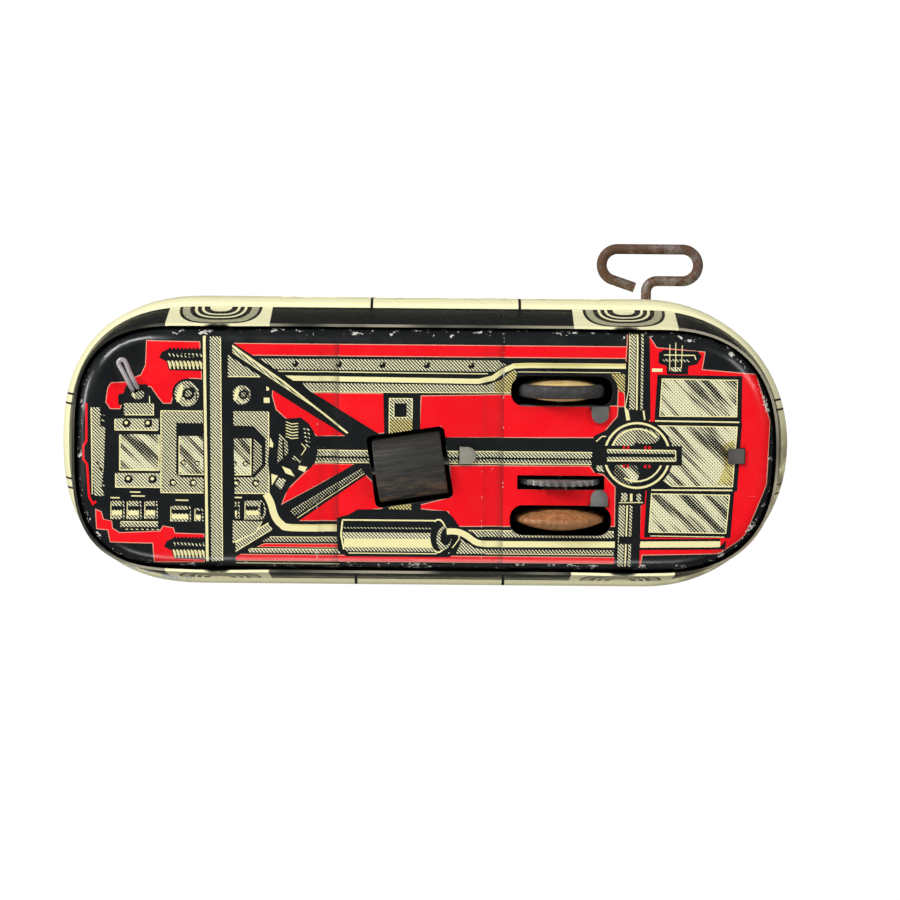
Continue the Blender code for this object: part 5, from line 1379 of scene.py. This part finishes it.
def build_tyre_ring(material):
    """The dark tyre: a rounded band in the hub's rim."""
    outer = (TYRE_HIGH.z - TYRE_LOW.z) / 2 / MM
    half = (TYRE_HIGH.y - TYRE_LOW.y) / 2 / MM
    inner = outer - 1.1
    profile = [(-half, inner)]
    for k in range(13):
        angle = math.pi * k / 12
        reach = outer - half * 0.55 + half * 0.55 * math.sin(angle)
        profile.append((-half * math.cos(angle) * 0.999, reach))
    profile.append((half, inner))
    return build_rolled("tyre_ring", profile, (TYRE_LOW.y + TYRE_HIGH.y) / 2, material)


def build_worn_roller(material):
    """The wooden cross roller: dished ends, a shallow recess round its pin, and rubbed edges."""
    roller = build_turned("worn_roller", 5.15 * MM, -5.3 * MM, 5.3 * MM, ROLLER, ROLLER_AXIS, 120)
    shape_ends(roller, ROLLER_AXIS, [(1.2, 0.0), (0.3, 0.12), (2.3, 0.05), (0.25, 0.6)])
    return close_turned(roller, material, 0.28, 4)


def build_roller_pin(material):
    pin = build_turned("roller_wire_pin", 0.7 * MM, -6.9 * MM, 6.9 * MM, ROLLER, ROLLER_AXIS, 24)
    shape_ends(pin, ROLLER_AXIS, [(0.2, 0.0)])
    return close_turned(pin, material, 0.15, 2)


def build_roller_ear(name, sign, material):
    """One upright ear that the roller's pin runs in: an upright tongue with a rounded top."""
    centre = ROLLER + ROLLER_AXIS * sign * 6.15 * MM
    top, foot = ROLLER.z + 2.5 * MM, (FLOOR_Z + 0.1) * MM
    bpy.ops.object.select_all(action="DESELECT")
    bpy.ops.mesh.primitive_cube_add(size=1, location=(centre.x, centre.y, (top + foot) / 2),
                                    rotation=(0, 0, ROLLER_TURN), scale=(TIN * MM, 5.0 * MM, top - foot))
    ear = bpy.context.object
    ear.name = name
    settle(ear)
    bpy.ops.object.mode_set(mode="EDIT")
    bpy.ops.mesh.select_mode(type="EDGE")
    bpy.ops.mesh.select_all(action="DESELECT")
    shape = bmesh.from_edit_mesh(ear.data)
    for edge in shape.edges:
        direction = (edge.verts[0].co - edge.verts[1].co).normalized()
        edge.select_set(abs(direction.dot(ROLLER_AXIS)) > 0.9 and edge.verts[0].co.z > ROLLER.z)
    bmesh.update_edit_mesh(ear.data)
    bpy.ops.mesh.bevel(offset=2.3 * MM, segments=8)
    return close_turned(ear, material, 0.08, 2)


def build_wire(name, points, diameter, material, sides=20):
    """A bent round wire that follows the points, with flat cut ends."""
    curve = bpy.data.curves.new(name, "CURVE")
    curve.dimensions = "3D"
    curve.bevel_depth = diameter / 2
    curve.bevel_resolution = sides // 4
    curve.use_fill_caps = True
    spline = curve.splines.new("POLY")
    spline.points.add(len(points) - 1)
    for point, place in zip(spline.points, points):
        point.co = (*place, 1)
    wire = bpy.data.objects.new(name, curve)
    bpy.context.scene.collection.objects.link(wire)
    make_active(wire)
    bpy.ops.object.convert(target="MESH")
    wire = bpy.context.object
    wire.data.materials.clear()
    wire.data.materials.append(material)
    smooth(wire, 45)
    return wire


def arc_points(centre, radius, start, end, steps):
    found = []
    for k in range(steps + 1):
        angle = math.radians(start + (end - start) * k / steps)
        found.append((centre[0] + radius * math.cos(angle), centre[1] + radius * math.sin(angle)))
    return found


def build_bent_key(material):
    """The winding key: one bent wire, its loop closed by a slanting end beside the shaft."""
    wire, stand_off, shoulder = 1.6, 2.0, 1.7
    loop_height, loop_width, loop_offset = 6.6, 16.8, 0.55
    near = HALF_WIDTH + stand_off + wire / 2
    far = near + loop_height - wire
    bend = (far - near) / 2
    left = KEY_X - loop_offset + (loop_width - wire) / 2
    right = KEY_X - loop_offset - (loop_width - wire) / 2
    plan = [(KEY_X, -8.75), (KEY_X, near - shoulder)]
    plan += arc_points((KEY_X - shoulder, near - shoulder), shoulder, 0, 90, 12)[1:]
    plan += arc_points((right + bend, near + bend), bend, -90, -270, 26)
    plan += arc_points((left - bend, near + bend), bend, 90, -68, 28)
    plan.append((KEY_X + 1.85, near - 1.05))
    return build_wire("bent_key", [to_world(x, y, KEY_HEIGHT) for x, y in plan], wire * MM, material, 28)


def build_split_pin(material):
    """The split pin that keeps the nose up: two legs pushed through the pan, and a round head."""
    direction = Vector((math.cos(math.radians(68)), math.sin(math.radians(68)), 0))
    across = Vector((-direction.y, direction.x, 0))
    hole = to_world(*PIN_SPOT, 0)
    wire, leg = 0.36, 0.40
    stations = [(-0.9, 4.17, 2.6), (-0.7, 4.22, leg + 0.5), (-0.25, 3.95, leg), (0.2, 3.1, leg),
                (1.3, 2.2, leg), (2.75, 1.3, leg + 0.04), (4.0, 0.62, leg + 0.13)]

    def leg_point(ahead, height, side):
        return hole + direction * ahead * MM + across * side * MM + Vector((0, 0, height * MM))

    points = [leg_point(a, z, -s) for a, z, s in stations]
    for angle in range(-70, 71, 14):
        turn = math.radians(angle)
        points.append(leg_point(4.15 + 0.62 * math.cos(turn), wire + 0.04, (leg + 0.14) * math.sin(turn)))
    points += [leg_point(a, z, s) for a, z, s in reversed(stations)]
    return build_wire("split_pin", points, 2 * wire * MM, material, 16)


# ---------------------------------------------------------------- the toy

make_active(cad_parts["base_pan"])
bpy.ops.object.select_all(action="DESELECT")

PRINTED_TIN = make_printed_tin("printed_pan_enamel", pan_chips)
BODY_ENAMEL = make_body_enamel()
BARE_TIN = make_metal("bare_tin", (0.19, 0.19, 0.183), (0.30, 0.29, 0.275), 0.52, 0.45, 0.10,
                      (0.10, 0.075, 0.055))
STRAP_TIN = make_metal("strap_tin", (0.27, 0.26, 0.215), (0.40, 0.38, 0.31), 0.52, 0.40, 0.12)
LUG_TIN = make_metal("lug_tin", (0.075, 0.074, 0.070), (0.13, 0.125, 0.115), 0.55, 0.40, 0.20,
                     (0.06, 0.05, 0.04))
PLATE_STEEL = make_metal("plate_steel", (0.15, 0.148, 0.14), (0.24, 0.235, 0.222), 0.50, 0.40, 0.14)
SPRING_STEEL = make_metal("spring_steel", (0.16, 0.17, 0.19), (0.30, 0.30, 0.31), 0.36, 1.0, 0.15)
PIN_STEEL = make_metal("split_pin_steel", (0.44, 0.40, 0.41), (0.62, 0.58, 0.59), 0.50, 0.35, 0.12,
                       (0.20, 0.12, 0.09))
BRASS = make_metal("gear_brass", (0.46, 0.33, 0.12), (0.62, 0.47, 0.20), 0.38, 1.0, 0.10, (0.14, 0.09, 0.04))
GEAR_STEEL = make_metal("gear_steel", (0.34, 0.33, 0.31), (0.48, 0.47, 0.44), 0.40, 0.7, 0.10)
KEY_STEEL = make_metal("key_steel", (0.20, 0.165, 0.140), (0.30, 0.255, 0.225), 0.52, 0.45, 0.60,
                       (0.135, 0.070, 0.040))
PALE_WOOD = make_wood("hub_wood", (0.80, 0.60, 0.26), (0.52, 0.34, 0.12), (250, 1500, 250), 0.52)
BROWN_WOOD = make_wood("wheel_wood", (0.50, 0.23, 0.085), (0.23, 0.088, 0.030), (1400, 330, 1400), 0.42)
RUBBER = make_wood("tyre_rubber", (0.040, 0.040, 0.042), (0.018, 0.018, 0.019), (900, 900, 900), 0.62,
                   (0.09, 0.08, 0.07), 0.4)


def make_roller_wood():
    """Black-stained wood: dark lengthwise grain, rubbed brown in patches over one side."""
    made, tree, sockets, place = new_material("roller_wood")
    turn = {"Vector": place, "Rotation": (0, 0, -ROLLER_TURN)}
    straight = node(tree, "Mapping", turn).outputs[0]
    grain = use_group(tree, WOOD_GRAIN, Vector=spread(tree, straight, 130, 1900, 1900), Strength=1.0)
    colour = blend_colours(tree, grain["Streaks"], (0.007, 0.007, 0.006), (0.032, 0.029, 0.023))
    parts = node(tree, "SeparateXYZ", {"Vector": straight}).outputs
    side = minus(tree, ROLLER.y - ROLLER.x * math.tan(ROLLER_TURN), parts[1])
    rubbed = ramp(tree, side, -0.0005, 0.0045)
    patch = ramp(tree, noise(tree, spread(tree, straight, 180, 700, 700), 1.0, 4.0, 0.7), 0.46, 0.66)
    tree.links.new(
        blend_colours(tree, times(tree, rubbed, patch), colour, (0.125, 0.080, 0.034)),
        sockets["Base Color"])
    tree.links.new(ramp(tree, grain["Streaks"], 0.0, 1.0, 0.62, 0.46), sockets["Roughness"])
    bump(tree, grain["Streaks"], 0.6, 0.00010, sockets)
    return made


ROLLER_WOOD = make_roller_wood()

CAD_FINISHES = (
    (PLATE_STEEL, ["left_motor_plate", "right_motor_plate"]),
    (STRAP_TIN, ["front_strap"]),
    (LUG_TIN, ["rear_body_lug"]),
    (SPRING_STEEL, ["spring_pillar", "rear_pillar", "front_pillar", "mainspring", "click", "verge",
                    "click_rivet", "intermediate_arbor", "escape_arbor", "verge_arbor", "rear_axle",
                    "ratchet_wheel", "escape_wheel"]),
    (BRASS, ["great_gear", "intermediate_gear", "intermediate_pinion"]),
    (GEAR_STEEL, ["axle_gear", "axle_pinion", "escape_pinion"]),
)
for material, names in CAD_FINISHES:
    for name in names:
        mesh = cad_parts[name].data
        if not mesh.materials:
            mesh.materials.append(material)
        for k in range(len(mesh.materials)):
            mesh.materials[k] = material


def mount(piece, body, slot, *replaced):
    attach(piece, body)
    if replaced:
        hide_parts(*replaced)
    return piece


mount(build_printed_pan(PRINTED_TIN, BARE_TIN), "car", "red_enamel", "base_pan")
mount(build_printed_body(BODY_ENAMEL, BARE_TIN), "car", "cream_enamel", "body_shell")
mount(build_roller_ear("front_roller_ear", 1, BARE_TIN), "car", "bare_tin")
mount(build_roller_ear("rear_roller_ear", -1, BARE_TIN), "car", "bare_tin")
mount(build_roller_pin(GEAR_STEEL), "car", "spring_steel", "roller_pin")
mount(build_split_pin(PIN_STEEL), "car", "bare_tin", "skid_pin")
mount(build_lens_wheel("wheel_hub", LEFT_LOW, LEFT_HIGH, 0.72, 0.0, PALE_WOOD),
      "drive_wheels", "pale_wood", "left_wheel")
mount(build_tyre_ring(RUBBER), "drive_wheels", "rubber", "tyre")
mount(build_lens_wheel("lens_wheel", RIGHT_LOW, RIGHT_HIGH, 0.42, 0.10, BROWN_WOOD),
      "drive_wheels", "brown_wood", "right_wheel")
mount(build_worn_roller(ROLLER_WOOD), "roller", "black_wood", "cross_roller")
mount(build_bent_key(KEY_STEEL), "key", "brown_steel", "winding_key")


# ---------------------------------------------------------------- floor, light and camera

def build_floor():
    """A pale floor that is seen from above only, so that the toy's underside can be looked at."""
    made, tree, sockets, place = new_material("pale_floor", Roughness=0.85)
    mottle = noise(tree, place, 14.0, 2.0)
    tree.links.new(blend_colours(tree, mottle, (0.80, 0.80, 0.79), (0.84, 0.84, 0.83)), sockets["Base Color"])
    clear = node(tree, "BsdfTransparent").outputs[0]
    back = node(tree, "NewGeometry").outputs["Backfacing"]
    shader = tree.nodes["Principled BSDF"].outputs[0]
    seen = node(tree, "LightPath").outputs["Is Camera Ray"]
    hidden = minus(tree, 1.0, times(tree, seen, minus(tree, 1.0, back)))
    both = node(tree, "MixShader", {0: hidden, 1: shader, 2: clear}).outputs[0]
    tree.links.new(both, tree.nodes["Material Output"].inputs[0])
    bpy.ops.mesh.primitive_plane_add(size=3.0, location=(0, 0, 0))
    floor = bpy.context.object
    floor.name = "floor"
    floor.data.materials.append(made)
    return floor


def softbox(name, place, target, size, power):
    data = bpy.data.lights.new(name, "AREA")
    data.shape = "RECTANGLE"
    data.size, data.size_y = size
    data.energy = power
    lamp = bpy.data.objects.new(name, data)
    bpy.context.scene.collection.objects.link(lamp)
    lamp.location = place
    lamp.rotation_euler = (Vector(target) - Vector(place)).to_track_quat("-Z", "Y").to_euler()
    return lamp


def build_world():
    world = bpy.data.worlds.new("white_room")
    bpy.context.scene.world = world
    world.use_nodes = True
    tree = world.node_tree
    path = node(tree, "LightPath").outputs
    strength = calc(tree, "MULTIPLY_ADD", path["Is Camera Ray"], 0.75, 0.27)
    strength = minus(tree, strength, times(tree, path["Is Glossy Ray"], 0.24))
    tree.links.new(strength, tree.nodes["Background"].inputs["Strength"])
    tree.nodes["Background"].inputs["Color"].default_value = (1, 1, 1, 1)


CAMERA_DISTANCE = 500
VIEW_WIDTH = 138.06


def build_camera():
    camera = bpy.data.objects.new("camera", bpy.data.cameras.new("camera"))
    bpy.context.scene.collection.objects.link(camera)
    tilt, roll = math.radians(5.4), math.radians(0.5)
    target = Vector((-3.9, -4.2, 3.2)) * MM
    ahead = Vector((0, -math.sin(tilt), math.cos(tilt)))
    camera.location = target - ahead * CAMERA_DISTANCE * MM
    side = ahead.cross(Vector((0, 1, 0))).normalized()
    up = side.cross(ahead)
    turned = up * math.cos(roll) - side * math.sin(roll)
    across = ahead.cross(turned)
    camera.rotation_euler = Matrix((across, turned, -ahead)).transposed().to_euler()
    camera.data.sensor_width = 36
    camera.data.lens = camera.data.sensor_width * CAMERA_DISTANCE / VIEW_WIDTH
    camera.data.clip_start = 0.01
    camera.data.clip_end = 20
    bpy.context.scene.camera = camera


build_floor()
build_world()
build_camera()
softbox("key_light", (0.50, 0.62, -0.55), (0, 0, 0), (0.30, 0.30), 7.0)
softbox("fill_light", (-0.70, 0.45, -0.55), (0, 0, 0), (0.4, 0.4), 4.0)
softbox("low_light", (0.1, -0.80, -0.50), (0, 0, 0), (0.6, 0.25), 3.5)
softbox("top_light", (0.0, 0.0, 1.1), (0, 0, 0.02), (0.16, 0.16), 9.0)
softbox("nose_light", (1.0, 0.12, -0.16), (0.03, 0, 0.01), (0.25, 0.25), 3.6)
bpy.context.scene.view_settings.view_transform = "Standard"

bpy.context.view_layer.update()
